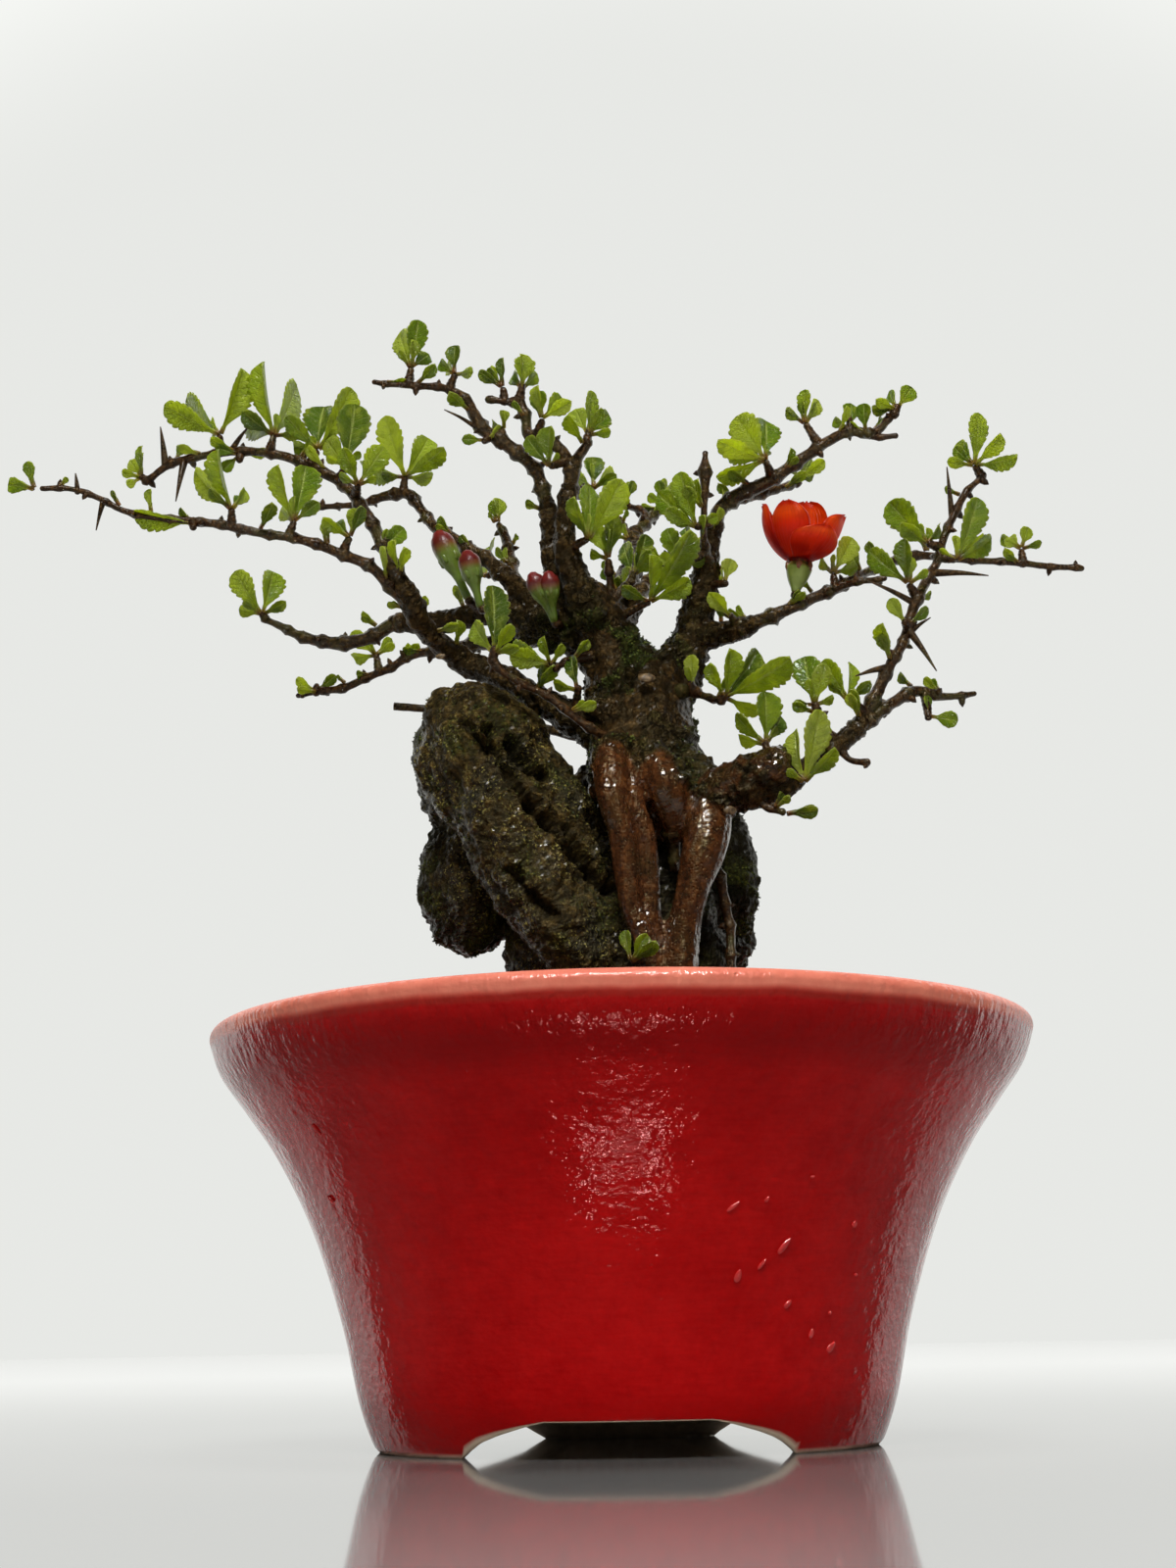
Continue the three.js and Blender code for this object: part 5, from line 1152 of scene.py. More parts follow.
def grow_spurs(batch):
    """The ringed spur under each rosette or leaf that stands off its limb"""
    for tip in [spec[0] for spec in [*ROSETTES.values(), *SMALL_LEAVES, *TINY_LEAVES]]:
        place, radius, away = nearest_wood(tip)
        if away > 0.4:
            outward = unit(np.array(tip) - place)
            length = away + radius
            run = np.arange(0, length + 0.3, 0.28)
            radii = np.interp(run, [0, length], [1.0, 0.62]) * (1 + 0.16 * np.abs(np.sin(run * 3.6)))
            spur = np.column_stack([place + outward * run[:, None], radii])
            batch.add(*tube(spur, 10, bark_relief(length)), girth=1.2, young=1, **PLAIN)


def grow_thorns(batch):
    for foot, point, radius in THORNS:
        middle = (np.array(foot) + point) / 2 + (0, 0, 0.25)
        thorn = soft_curve([[*foot, radius], [*middle, radius * 0.62], [*point, 0.12]], 0.5)
        batch.add(*tube(thorn, 8), girth=0.5, young=0.6, **PLAIN)


def grow_bud_stalks(batch):
    for foot in BUD_FEET:
        place, radius, away = nearest_wood(foot)
        outward = unit(np.array(foot) - place)
        run = np.arange(0, away + radius, 0.3)
        stalk = np.column_stack([place + outward * run[:, None], 0.9 + 0.12 * np.abs(np.sin(run * 3.4))])
        batch.add(*tube(stalk, 10), girth=1.2, young=1, **PLAIN)


def make_twigs():
    batch = Batch("girth", "root", "hollow", "moss", "young")
    grow_twigs(batch, random.Random(TWIG_SEED))
    grow_spurs(batch)
    grow_thorns(batch)
    grow_bud_stalks(batch)
    dress(batch.piece("twigs_and_thorns", twig_bark()), "quince_bark", "tree")


def twig_bark():
    finish = Finish("twig_bark")
    young = finish.marked("young")
    grain = finish.noise(0.9, 4, 0.6)
    patch = finish.noise(5, 3)
    old = finish.ramp(grain, (0.32, colour(12, 8, 3)), (0.5, colour(42, 29, 12)), (0.7, colour(98, 76, 40)))
    red = finish.ramp(grain, (0.32, colour(18, 7, 2)), (0.52, colour(46, 21, 7)), (0.76, colour(98, 62, 28)))
    base = finish.blend(young * 0.8, old, red)
    base = finish.blend(patch.between(0.52, 0.66) * 0.5, base, colour(70, 70, 34))
    normal = finish.bump(grain, 0.5)
    shader = finish.surface(Base_Color=base, Roughness=0.42 - 0.24 * patch.between(0.35, 0.6), Normal=normal,
                            Specular_IOR_Level=0.36, Specular_Tint=(1.0, 0.80, 0.5, 1), Coat_Weight=0.14,
                            Coat_Roughness=0.12)
    return finish.done(shader)


# Rock and soil

ROCK_GRAIN = 0.63
ROCK_BASE = 58  # the rock stands on this level, inside the soil
ROCK_LEAN = -27
ROCK_SOFTENED = 3  # rounds of smoothing


def unevenness(x, y, z, scale):
    a = np.sin(x / scale + 1.3 * np.sin(y / scale + 0.7) + 0.9 * np.cos(z / scale))
    b = np.sin(y / (0.53 * scale) + 1.1 * np.cos(z / (0.61 * scale) + 2) + x / (0.8 * scale))
    c = np.cos(z / (0.37 * scale) + 1.7 * np.sin(x / (0.45 * scale) - y / (0.5 * scale)))
    return 0.5 * a + 0.3 * b + 0.2 * c


def make_lobe(at, half, lean):
    shape = bmesh.new()
    bmesh.ops.create_icosphere(shape, subdivisions=5, radius=1)
    points = np.array([v.co[:] for v in shape.verts])
    faces = [tuple(v.index for v in face.verts) for face in shape.faces]
    shape.free()
    x, y, z = (points * half + at).T
    points = points * half * (1 + 0.1 * unevenness(x, y, z, 5.5))[:, None]
    turn = np.array(Matrix.Rotation(math.radians(lean), 3, "Y"))
    return points @ turn.T + at, faces


def distance_to_line(points, line):
    """How far each point of a plane is from a bent line in it"""
    nearest = np.full(len(points), 1e9)
    line = np.array(line, dtype=float)
    for a, b in zip(line[:-1], line[1:]):
        step = b - a
        share = np.clip(((points - a) @ step) / step.dot(step), 0, 1)
        nearest = np.minimum(nearest, np.linalg.norm(points - a - share[:, None] * step, axis=1))
    return nearest


def make_rock():
    batch = Batch()
    for at, half, lean in LOBES:
        batch.add(*make_lobe(at, half, lean))
    rock = batch.piece("craggy_rock", craggy_stone())
    grown = rock.modifiers.new("one_stone", "REMESH")
    grown.mode = "VOXEL"
    grown.voxel_size = ROCK_GRAIN * MM
    softened = rock.modifiers.new("softened", "SMOOTH")
    softened.factor = 0.5
    softened.iterations = ROCK_SOFTENED
    settle(rock)
    weather_rock(rock.data)
    dress(rock, "dark_rock", "rock")
    return rock


def weather_rock(mesh):
    """Grooves along the rock, lumps, pits and cracks, and where each is"""
    points = in_millimetres(mesh)
    normals = normals_of(mesh)
    lean = math.radians(ROCK_LEAN)
    leaning = points @ np.array(Matrix.Rotation(-lean, 3, "Y")).T
    grooves = rough(leaning * (1, 1, 0.35), 3.4, 7)
    lumps = rough(points, 6.5, 8)
    grains = rough(points, 1.7, 9)
    pits = rough(points, 0.9, 10, 2)
    slab = smooth_step(4, -6, points[:, 0] + 0.5 * (points[:, 2] - 110)) * smooth_step(4, -6, points[:, 1])
    crumbs = np.abs(rough(points, 1.9, 11, 2))
    lift = 1.1 * lumps + (0.35 + 0.1 * slab) * grooves + 0.34 * grains + 0.26 * pits
    lift += (0.5 - 0.3 * slab) * (crumbs - 0.22)
    cracked = np.zeros(len(points))
    for width, depth, line in FISSURES:
        near = distance_to_line(points[:, [0, 2]], line)
        near += 0.8 * rough(points, 2.2, 12, 3)
        crack = smooth_step(width, 0, near) * smooth_step(0.2, -0.3, normals[:, 1]) * (points[:, 1] < 4)
        lift -= 1.5 * depth * crack
        cracked = np.maximum(cracked, crack)
    points = points + normals * lift[:, None]
    points[:, 2] = np.maximum(points[:, 2], ROCK_BASE)
    move_corners(mesh, points)
    # painted shade: the rock's low places and its cracks, to be painted near black by its finish
    hollow = smooth_step(-0.05, -0.6, grains + 0.6 * grooves + 0.5 * pits)
    mark(mesh, "hollow", np.maximum(hollow * 0.8, cracked))
    mossy = rough(points, 8, 14) + 0.3 * (hollow - 0.4) + 0.2 * (points[:, 1] > 0)
    mark(mesh, "moss", smooth_step(0.05, 0.5, mossy))
    mark(mesh, "slab", slab)


def craggy_stone():
    finish = Finish("craggy_stone")
    hollow = finish.marked("hollow")
    moss = finish.marked("moss")
    slab = finish.marked("slab")
    patch = finish.noise(9, 4)
    grain = finish.noise(1.3, 6, 0.7)
    speck = finish.noise(0.5, 3, 0.6)
    brown = finish.ramp(grain, (0.34, colour(7, 5, 2)), (0.48, colour(38, 29, 11)),
                        (0.62, colour(82, 64, 28)), (0.76, colour(162, 138, 72)))
    grey = finish.ramp(grain, (0.34, colour(8, 8, 5)), (0.52, colour(34, 32, 21)), (0.74, colour(96, 90, 62)))
    base = finish.blend(patch.between(0.52, 0.66), brown, grey)
    dark = finish.ramp(grain, (0.36, colour(2, 3, 1)), (0.54, colour(9, 11, 4)), (0.76, colour(38, 42, 16)))
    base = finish.blend(slab, dark, base)
    green = finish.ramp(speck, (0.3, colour(14, 20, 5)), (0.55, colour(54, 62, 14)),
                        (0.8, colour(132, 132, 44)))
    base = finish.blend(moss * speck.between(0.35, 0.55) * 0.65, base, green)
    glint = speck.between(0.58, 0.66) * patch.between(0.36, 0.56) * slab
    base = finish.blend(glint * 0.8, base, colour(176, 166, 88))
    # painted shade: hollows and cracks near black
    base = finish.blend(hollow * 0.9, base, colour(4, 3, 1))
    normal = finish.bump(grain * 0.55 + speck * 0.5, 0.8)
    wet = patch.between(0.36, 0.54) * (1 - hollow) * (1 - moss * 0.7)
    roughness = 0.55 - 0.38 * wet
    shader = finish.surface(Base_Color=base, Roughness=roughness, Normal=normal, Specular_IOR_Level=0.24,
                            Specular_Tint=(1.0, 0.82, 0.45, 1), Coat_Weight=wet * 0.2, Coat_Roughness=0.12)
    return finish.done(shader)


SOIL = {"edge": 64.5, "crown": 68.5, "radius": 66.0}
SOIL_RINGS = 56
SOIL_SIDES = 220


def make_soil():
    """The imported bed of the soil, closed below"""
    shares = np.linspace(1, 0.02, SOIL_RINGS)
    top = [(SOIL["radius"] * s, SOIL["edge"] + (SOIL["crown"] - SOIL["edge"]) * (1 - s * s)) for s in shares]
    wall = [(0.5, 11.4), (35, 11.4), (41, 12.4), (46, 22), (51.2, 38), (56.6, 49), (61.5, 57)]
    points, faces = turned([*wall, *top], SOIL_SIDES)
    surface = points[:, 2] > SOIL["edge"] - 0.1
    points[surface, 2] += 0.5 * rough(points[surface], 2.6, 21) - 0.2
    bed = make_object("soil_bed", points, faces, baked_soil())
    face_outwards(bed)
    mark(bed.data, "tone", np.full(len(bed.data.vertices), 0.4))
    dress(bed, "akadama_soil", "soil")
    return bed


def baked_soil():
    finish = Finish("baked_soil")
    tone = finish.marked("tone")
    grain = finish.noise(0.8, 4, 0.6)
    ochre = finish.ramp(grain, (0.3, colour(78, 52, 30)), (0.7, colour(142, 100, 62)))
    dark = finish.ramp(grain, (0.3, colour(34, 26, 19)), (0.7, colour(78, 62, 46)))
    base = finish.blend(tone, dark, ochre)
    normal = finish.bump(grain, 0.3)
    return finish.done(finish.surface(Base_Color=base, Roughness=0.75, Normal=normal))


def finish_drain_mesh():
    """The drain mesh keeps its solid and gets its plastic"""
    finish = Finish("drain_plastic")
    scuffs = finish.noise(2.2, 4)
    base = finish.blend(scuffs, (0.012, 0.013, 0.012, 1), (0.035, 0.036, 0.034, 1))
    shader = finish.surface(Base_Color=base, Roughness=0.45 + 0.25 * scuffs, Normal=finish.bump(scuffs, 0.05))
    plastic = finish.done(shader)
    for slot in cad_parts["drain_mesh"].material_slots:
        slot.material = plastic


# Leaves

LEAF_THICK = 0.26
FOOT = 0.9  # a blade starts to widen here
BROAD = 0.46  # a leaf's widest width, as a share of its length
ARCHED = 0.1  # how far its tip bends back, likewise
ROLLED = 0.82  # a leaf is seen a little narrower than its place on the limb allows
STALK = 0.36  # half the width of a leaf's stalk
LEAF_COLUMNS = 9
OUTLINE = np.array([(0, 0.1), (0.09, 0.17), (0.18, 0.32), (0.28, 0.52), (0.39, 0.72), (0.5, 0.88),
                    (0.6, 0.97), (0.68, 1), (0.77, 0.96), (0.86, 0.84), (0.93, 0.65), (0.975, 0.42),
                    (1, 0.06)]).T


def leaf_root(tip, offset):
    """Where the leaves of a rosette meet: out on its spur, or on the limb's bark"""
    place, radius, away = nearest_wood(tip)
    outward = unit(np.array(tip) - place)
    seat = np.array(tip) if away > 1.4 else place + outward * radius
    return seat + outward * offset


def leaf_frame(lean, turn, seen_width, width):
    """Directions along a leaf, out of its face and across it"""
    lean_angle, turn_angle = math.radians(lean), math.radians(turn)
    flat = math.cos(turn_angle)
    along = Vector((math.sin(lean_angle) * flat, math.sin(turn_angle), math.cos(lean_angle) * flat))
    roll = math.acos(min(1, seen_width / width)) * (1 if lean > 0 else -1)
    front = Vector((0, -1, 0))
    face = (front - along * front.dot(along)).normalized()
    face.rotate(Matrix.Rotation(roll, 3, along))
    return np.array(along), np.array(face), np.array(along.cross(face))


def leaf_blade(root, spec, chooser):
    """Corners, faces, places in the blade and share along it, for one toothed leaf with its stalk"""
    lean, seen_length, seen_width, turn = spec
    length = seen_length / math.cos(math.radians(turn))
    width = max(BROAD * length, 0.88 * seen_width)
    along, face, side = leaf_frame(lean, turn, min(seen_width * ROLLED, width), width)
    rows = 40 if length > 8 else 26
    stations = np.linspace(0, 1, rows) ** 0.85
    run = np.maximum((stations * length - FOOT) / (length - FOOT), 0)
    outline = np.interp(run, *OUTLINE)
    teeth = max(4, round(length * 0.66))
    phase = (run * teeth + chooser.random()) % 1
    scallop = np.sqrt(np.clip(1 - (1 - phase) ** 2, 0, 1)) - smooth_step(0.82, 1.0, phase)
    toothed = smooth_step(0.22, 0.42, run) * (0.2 if length > 6 else 0.12)
    half = np.maximum(width / 2 * outline * (1 + toothed * (scallop - 0.6)), STALK * (1 - 0.35 * stations))
    half[-1] = 0.06
    across = np.linspace(-1, 1, LEAF_COLUMNS)
    fold = chooser.uniform(0.2, 0.75)
    curl = chooser.uniform(-0.20, 0.14)
    wave = chooser.uniform(0.2, 0.6)
    phase_shift = chooser.uniform(0, 6)
    twist = chooser.uniform(-0.4, 0.4) * (seen_width / width) ** 2
    offset = across[None] * half[:, None]
    blade_width = (np.abs(across) ** 1.5)[None] * half[:, None]
    lift = fold * np.abs(offset) + curl * blade_width
    ripple = np.sin(phase_shift + 11 * run[:, None] + 2 * np.sign(across)[None])
    lift += wave * 0.05 * width * (across ** 2)[None] * ripple
    quilt = np.abs(np.sin(math.pi * (run[:, None] * 9 - np.abs(across)[None] * 1.6)))
    lift += 0.14 * quilt * (np.abs(across) * (1 - across ** 2))[None] * smooth_step(0.05, 0.3, run)[:, None]
    lift += twist * offset * run[:, None]
    lift -= ARCHED * length * (stations * stations)[:, None]
    thinned = 1 - 0.55 * np.abs(across)[None] ** 3
    midrib = np.exp(-(across[None] / 0.18) ** 2) * (1 - run[:, None])
    thick = LEAF_THICK * thinned * (1 + 0.9 * midrib)
    thick = np.where(half[:, None] < STALK * 1.2, STALK * 1.5, thick)
    middle = root + along * (0.25 + stations * (length - 0.25))[:, None]
    shell = []
    for sign in (1, -1):
        up = lift + sign * thick / 2
        shell.append(middle[:, None] + side * offset[:, :, None] + face * up[:, :, None])
    points = np.concatenate([shell[0].reshape(-1, 3), shell[1].reshape(-1, 3)])
    under = rows * LEAF_COLUMNS
    faces = []
    for j in range(rows - 1):
        for i in range(LEAF_COLUMNS - 1):
            a = j * LEAF_COLUMNS + i
            faces.append((a, a + 1, a + 1 + LEAF_COLUMNS, a + LEAF_COLUMNS))
            b = a + under
            faces.append((b, b + LEAF_COLUMNS, b + 1 + LEAF_COLUMNS, b + 1))
        left, right = j * LEAF_COLUMNS, (j + 1) * LEAF_COLUMNS - 1
        faces.append((left, left + LEAF_COLUMNS, left + LEAF_COLUMNS + under, left + under))
        faces.append((right, right + under, right + LEAF_COLUMNS + under, right + LEAF_COLUMNS))
    for i in range(LEAF_COLUMNS - 1):
        top = (rows - 1) * LEAF_COLUMNS + i
        faces.append((i, i + under, i + 1 + under, i + 1))
        faces.append((top, top + 1, top + 1 + under, top + under))
    spread = np.tile(across, rows)
    share = np.repeat(run, LEAF_COLUMNS)
    return points, faces, np.tile(spread, 2), np.tile(share, 2), np.repeat([1.0, 0.0], under)


def add_leaf(batch, root, spec, chooser):
    """A leaf with its own shade of green"""
    points, faces, spread, share, upper = leaf_blade(root, spec, chooser)
    reach = np.linalg.norm(points - root, axis=1)
    batch.add(points, faces, spread=spread, share=share, upper=upper, tone=chooser.random(),
              stalk=smooth_step(2.4, 0.6, reach))


def stipules(chooser, count):
    """The small narrow leaves at the foot of a tuft"""
    for _ in range(count):
        length = chooser.uniform(3.4, 5.6)
        yield chooser.uniform(-85, 85), length, length * chooser.uniform(0.34, 0.46), chooser.uniform(-45, 45)


LEAF_MARKS = ("spread", "share", "upper", "tone", "stalk")
SPROUT_EVERY = 6.5


def make_leaves():
    finish = quince_leaf()
    chooser = random.Random(31)
    for node, (tip, *specs) in ROSETTES.items():
        batch = Batch(*LEAF_MARKS)
        root = leaf_root(tip, 0.65)
        for spec in [*specs, *stipules(chooser, 2)]:
            add_leaf(batch, root, spec, chooser)
        dress(batch.piece(node.replace("leaves", "rosette"), finish), "quince_leaf", node)
    batch = Batch(*LEAF_MARKS)
    for tip, *specs in [*SMALL_LEAVES, *TINY_LEAVES]:
        root = leaf_root(tip, -0.4)
        for spec in [*specs, *stipules(chooser, 1)]:
            add_leaf(batch, root, spec, chooser)
    for name, samples in LIMBS.items():
        if not is_root(name) and name != CUT_ROD:
            sprout_leaves(batch, samples, chooser)
    dress(batch.piece("single_leaves", finish), "quince_leaf", "tree")


def sprout_leaves(batch, samples, chooser):
    """Tiny new leaves straight out of the bark of a thin limb"""
    steps = np.linalg.norm(np.diff(samples[:, :3], axis=0), axis=1)
    run = np.concatenate([[0], np.cumsum(steps)])
    for place in np.arange(SPROUT_EVERY, run[-1], SPROUT_EVERY):
        k = int(np.argmin(np.abs(run - place)))
        if samples[k, 3] > 3 or chooser.random() < 0.45:
            continue
        lean = chooser.choice((-1, 1)) * chooser.uniform(10, 80)
        turn = chooser.uniform(-60, 35)
        along, _, _ = leaf_frame(lean, turn, 1, 1)
        for _ in range(chooser.choice((1, 2))):
            length = chooser.uniform(2.6, 4.8)
            spec = (lean + chooser.uniform(-25, 25), length, length * 0.42, turn)
            add_leaf(batch, samples[k, :3] + along * samples[k, 3] * 0.8, spec, chooser)


def quince_leaf():
    finish = Finish("quince_leaf")
    spread = finish.marked("spread")
    share = finish.marked("share")
    upper = finish.marked("upper")
    tone = finish.marked("tone")
    stalk = finish.marked("stalk")
    off = finish.node("ShaderNodeMath", {"operation": "ABSOLUTE"}, {0: spread})
    midrib = off.between(0.16, 0.03)
    side_vein = finish.node("ShaderNodeMath", {"operation": "PINGPONG"}, {0: share * 9 - off * 1.6, 1: 0.5})
    veins = side_vein.between(0.13, 0.0) * off.between(1.0, 0.5) * share.between(0.05, 0.25)
    net = finish.cells(0.75, "DISTANCE_TO_EDGE").between(0.12, 0.0)
    patch = finish.noise(3.0, 3)
    fine = finish.noise(0.5, 2)
    green = finish.ramp(tone, (0.0, colour(44, 76, 12)), (0.3, colour(94, 130, 22)),
                        (0.62, colour(154, 180, 46)), (1.0, colour(214, 222, 112)))
    green = finish.blend(patch.between(0.5, 0.35) * 0.55, green, colour(64, 96, 14))
    green = finish.blend(patch.between(0.52, 0.7) * 0.5, green, colour(206, 212, 78))
    below = finish.blend(0.45, green, colour(172, 190, 108))
    base = finish.blend(upper, below, green)
    base = finish.blend((midrib * 0.55 + veins * 0.34 + net * 0.16).at_most(1), base, colour(196, 208, 104))
    edge = off.between(0.84, 1.0) * share.between(0.3, 0.5)
    base = finish.blend(edge * 0.4, base, colour(204, 200, 92))
    base = finish.blend(stalk * 0.75, base, colour(140, 66, 34))
    relief = 1 - (midrib * 0.8 + veins * 0.7 + net * 0.35) + fine * 0.2
    normal = finish.bump(relief, 0.36)
    roughness = 0.12 + 0.2 * patch
    sheen = finish.surface(Base_Color=base, Roughness=roughness, Normal=normal, Specular_IOR_Level=0.7)
    glow = finish.node("ShaderNodeBsdfTranslucent", inputs={"Color": colour(222, 234, 62), "Normal": normal})
    ribbed = (midrib * 0.6 + veins * 0.5).at_most(1)
    factor = 0.26 + 0.38 * tone + 0.7 * (patch - 0.5) - 0.3 * stalk - 0.14 * ribbed
    return finish.done(finish.node("ShaderNodeMixShader", inputs={0: factor, 1: sheen, 2: glow}))


# Flower and buds

PETAL_GRID = 22
CUPPED = 1.1  # half the angle through which a petal is cupped


def flower_place(points, lift=0.0):
    lean = np.array(Matrix.Rotation(math.radians(FLOWER["lean"]), 3, "Y"))
    return np.asarray(points, dtype=float) @ lean.T + FLOWER["base"] + (0, 0, lift)


def petal(turn, tall, wide, broad, chooser):
    """A cupped petal as a closed skin on a square net"""
    count = PETAL_GRID
    u, v = np.meshgrid(np.linspace(-1, 1, count), np.linspace(0, 1, count))
    ruffle = chooser.uniform(0, 6)
    reach = FLOWER["radius"] * wide
    radius = 1.3 + (reach - 1.3) * np.sin(math.pi / 2 * v ** 0.75) - 0.5 * v ** 3 + 1.0 * (wide > 1) * v ** 4
    radius += 0.3 * v ** 3 * np.sin(4 * u + ruffle)
    trimmed = 1 - v ** 3 * 0.01 * np.sin(7 * u + ruffle)
    height = FLOWER["height"] * tall * v ** 1.12 * trimmed
    rounded = np.sqrt(np.clip(1.02 - (np.maximum(v - 0.62, 0) / 0.38) ** 2, 0, 1))
    half = 5.3 * broad * np.sin(math.pi * np.minimum(0.08 + 0.68 * v, 0.5)) ** 0.8 * rounded
    sideways = half * np.sin(CUPPED * u) / math.sin(CUPPED)
    inward = half * (1 - np.cos(CUPPED * u)) / math.sin(CUPPED) * 0.85
    angle = math.radians(turn)
    skins = []
    for side in (-1, 1):
        r = radius - inward + side * 0.16
        x = r * math.cos(angle) - sideways * math.sin(angle)
        y = r * math.sin(angle) + sideways * math.cos(angle)
        skins.append(np.stack([x, y, height - side * 0.15 * (1 - v)], axis=-1).reshape(-1, 3))
    points = np.concatenate(skins)
    under = count * count
    faces = []
    for j in range(count - 1):
        for i in range(count - 1):
            a = j * count + i
            faces.append((a, a + count, a + count + 1, a + 1))
            b = a + under
            faces.append((b, b + 1, b + count + 1, b + count))
        left, right = j * count, (j + 1) * count - 1
        faces.append((left, left + under, left + count + under, left + count))
        faces.append((right, right + count, right + count + under, right + under))
    for i in range(count - 1):
        top = (count - 1) * count + i
        faces.append((i, i + 1, i + 1 + under, i + under))
        faces.append((top, top + under, top + 1 + under, top + 1))
    return points, faces, np.tile(u.ravel(), 2), np.tile(v.ravel(), 2)


def make_petals():
    chooser = random.Random(5)
    batch = Batch("spread", "share")
    for spec in PETALS:
        points, faces, spread, share = petal(*spec, chooser)
        batch.add(flower_place(points), faces, spread=spread, share=share)
    disc = [[0, 0, -0.5, 1.7], [0, 0, 0, 2.2], [0, 0, 0.4, 2.0]]
    points, faces = tube(disc, 20)
    batch.add(flower_place(points), faces, spread=0.5, share=0.05)
    petals = batch.piece("petals", quince_petal())
    dress(petals, "quince_petal", "flower_petals")


def quince_petal():
    finish = Finish("quince_petal")
    spread = finish.marked("spread")
    share = finish.marked("share")
    fine = finish.noise(0.7, 3)
    patch = finish.noise(4, 3)
    off = finish.node("ShaderNodeMath", {"operation": "ABSOLUTE"}, {0: spread})
    streak = finish.node("ShaderNodeMath", {"operation": "PINGPONG"},
                         {0: spread * 7, 1: 0.5}).between(0.16, 0.0)
    # painted shade and painted light: the petal is darkest at its foot, deep in the cup, brightest orange
    # near its top, and darker again at its very edge
    base = finish.ramp(share, (0.0, colour(90, 8, 4)), (0.3, colour(150, 8, 2)), (0.6, colour(226, 48, 6)),
                       (0.86, colour(250, 106, 22)), (0.94, colour(216, 52, 12)), (1.0, colour(130, 16, 8)))
    rim = off.between(0.86, 0.98) * share.between(0.3, 0.6)
    base = finish.blend(rim * 0.7, base, colour(140, 16, 8))
    base = finish.blend(patch.between(0.45, 0.7) * 0.5, base, colour(140, 6, 2))
    base = finish.blend(streak * (1 - off) * share.between(0.05, 0.4) * 0.4, base, colour(170, 14, 6))
    normal = finish.bump(fine * 0.5 + streak * 0.5, 0.1)
    sheen = finish.surface(Base_Color=base, Roughness=0.34, Normal=normal, Specular_IOR_Level=0.3)
    glow = finish.node("ShaderNodeBsdfTranslucent", inputs={"Color": (1.0, 0.19, 0.014, 1)})
    return finish.done(finish.node("ShaderNodeMixShader", inputs={0: 0.5, 1: sheen, 2: glow}))


def make_calyx():
    foot = np.array(CALYX_FOOT)
    top = np.array(FLOWER["base"]) - (0, 0, 1.3)
    shares = [(0.1, 0.85), (0.2, 1.0), (0.32, 1.35), (0.45, 1.7), (0.62, 2.05), (0.75, 2.25), (0.85, 2.4),
              (0.95, 2.5), (1, 2.3)]
    path = [[*(foot + (top - foot) * share), radius] for share, radius in shares]

    def ribs(samples, angles):
        rising = np.linspace(0, 1, len(samples))[:, None]
        return 0.05 * rising * np.cos(5 * angles)[None]

    batch = Batch("share")
    points, faces = tube(path, 30, ribs)
    batch.add(points, faces, share=np.repeat(np.linspace(0, 1, len(path) + 4), 30))
    for k in range(5):
        angle = 2 * math.pi * k / 5 + 0.9
        out = np.array([math.cos(angle), math.sin(angle), 0])
        lobe = [[*(top + out * 1.7 + (0, 0, -0.6)), 0.8], [*(top + out * 2.2 + (0, 0, 0.2)), 0.62],
                [*(top + out * 2.35 + (0, 0, 0.8)), 0.3]]
        batch.add(*tube(lobe, 10), share=1.0)
    calyx = batch.piece("calyx", green_calyx())
    dress(calyx, "calyx_green", "flower_calyx")


def green_calyx():
    finish = Finish("green_calyx")
    share = finish.marked("share")
    fine = finish.noise(0.9, 3)
    base = finish.ramp(share, (0.0, colour(104, 72, 40)), (0.2, colour(120, 136, 56)),
                       (0.7, colour(126, 138, 56)), (1.0, colour(126, 66, 38)))
    base = finish.blend(fine.between(0.5, 0.7) * 0.3, base, colour(86, 104, 36))
    shader = finish.surface(Base_Color=base, Roughness=0.38, Normal=finish.bump(fine, 0.08), Coat_Weight=0.2)
    return finish.done(shader)


STAMEN_COUNT = 18


def make_stamens():
    chooser = random.Random(8)
    batch = Batch("share")
    points, faces = tube([[0, 0, 0.5, 0.95], [0, 0, 1.2, 1.0]], 14)
    batch.add(flower_place(points), faces, share=0.0)
    for k in range(STAMEN_COUNT):
        angle = k * 2.4
        lean = math.radians(4 + 17 * math.sqrt((k + 0.5) / STAMEN_COUNT))
        height = chooser.uniform(3.9, 5.3)
        out = np.array([math.cos(angle) * math.sin(lean), math.sin(angle) * math.sin(lean), math.cos(lean)])
        foot = np.array([0, 0, 1.0]) + out * 0.3
        path = [[*(foot + out * height * s), 0.14] for s in (0, 0.3, 0.6, 0.85)]
        points, faces = tube(path, 6)
        batch.add(flower_place(points), faces, share=0.3)
        head = foot + out * height * 0.95
        points, faces = tube([[*(head - out * 0.3), 0.3], [*(head + out * 0.05), 0.42],
                              [*(head + out * 0.35), 0.26]], 8)
        batch.add(flower_place(points), faces, share=1.0)
    stamens = batch.piece("stamens", yellow_stamen())
    dress(stamens, "stamen_yellow", "flower_stamens")


def yellow_stamen():
    finish = Finish("yellow_stamen")
    share = finish.marked("share")
    grain = finish.noise(0.4, 3)
    base = finish.ramp(share, (0.0, colour(168, 170, 70)), (0.3, colour(236, 206, 120)),
                       (1.0, colour(242, 190, 40)))
    base = finish.blend(grain.between(0.5, 0.7) * 0.4, base, colour(206, 140, 24))
    return finish.done(finish.surface(Base_Color=base, Roughness=0.6, Normal=finish.bump(grain, 0.06)))


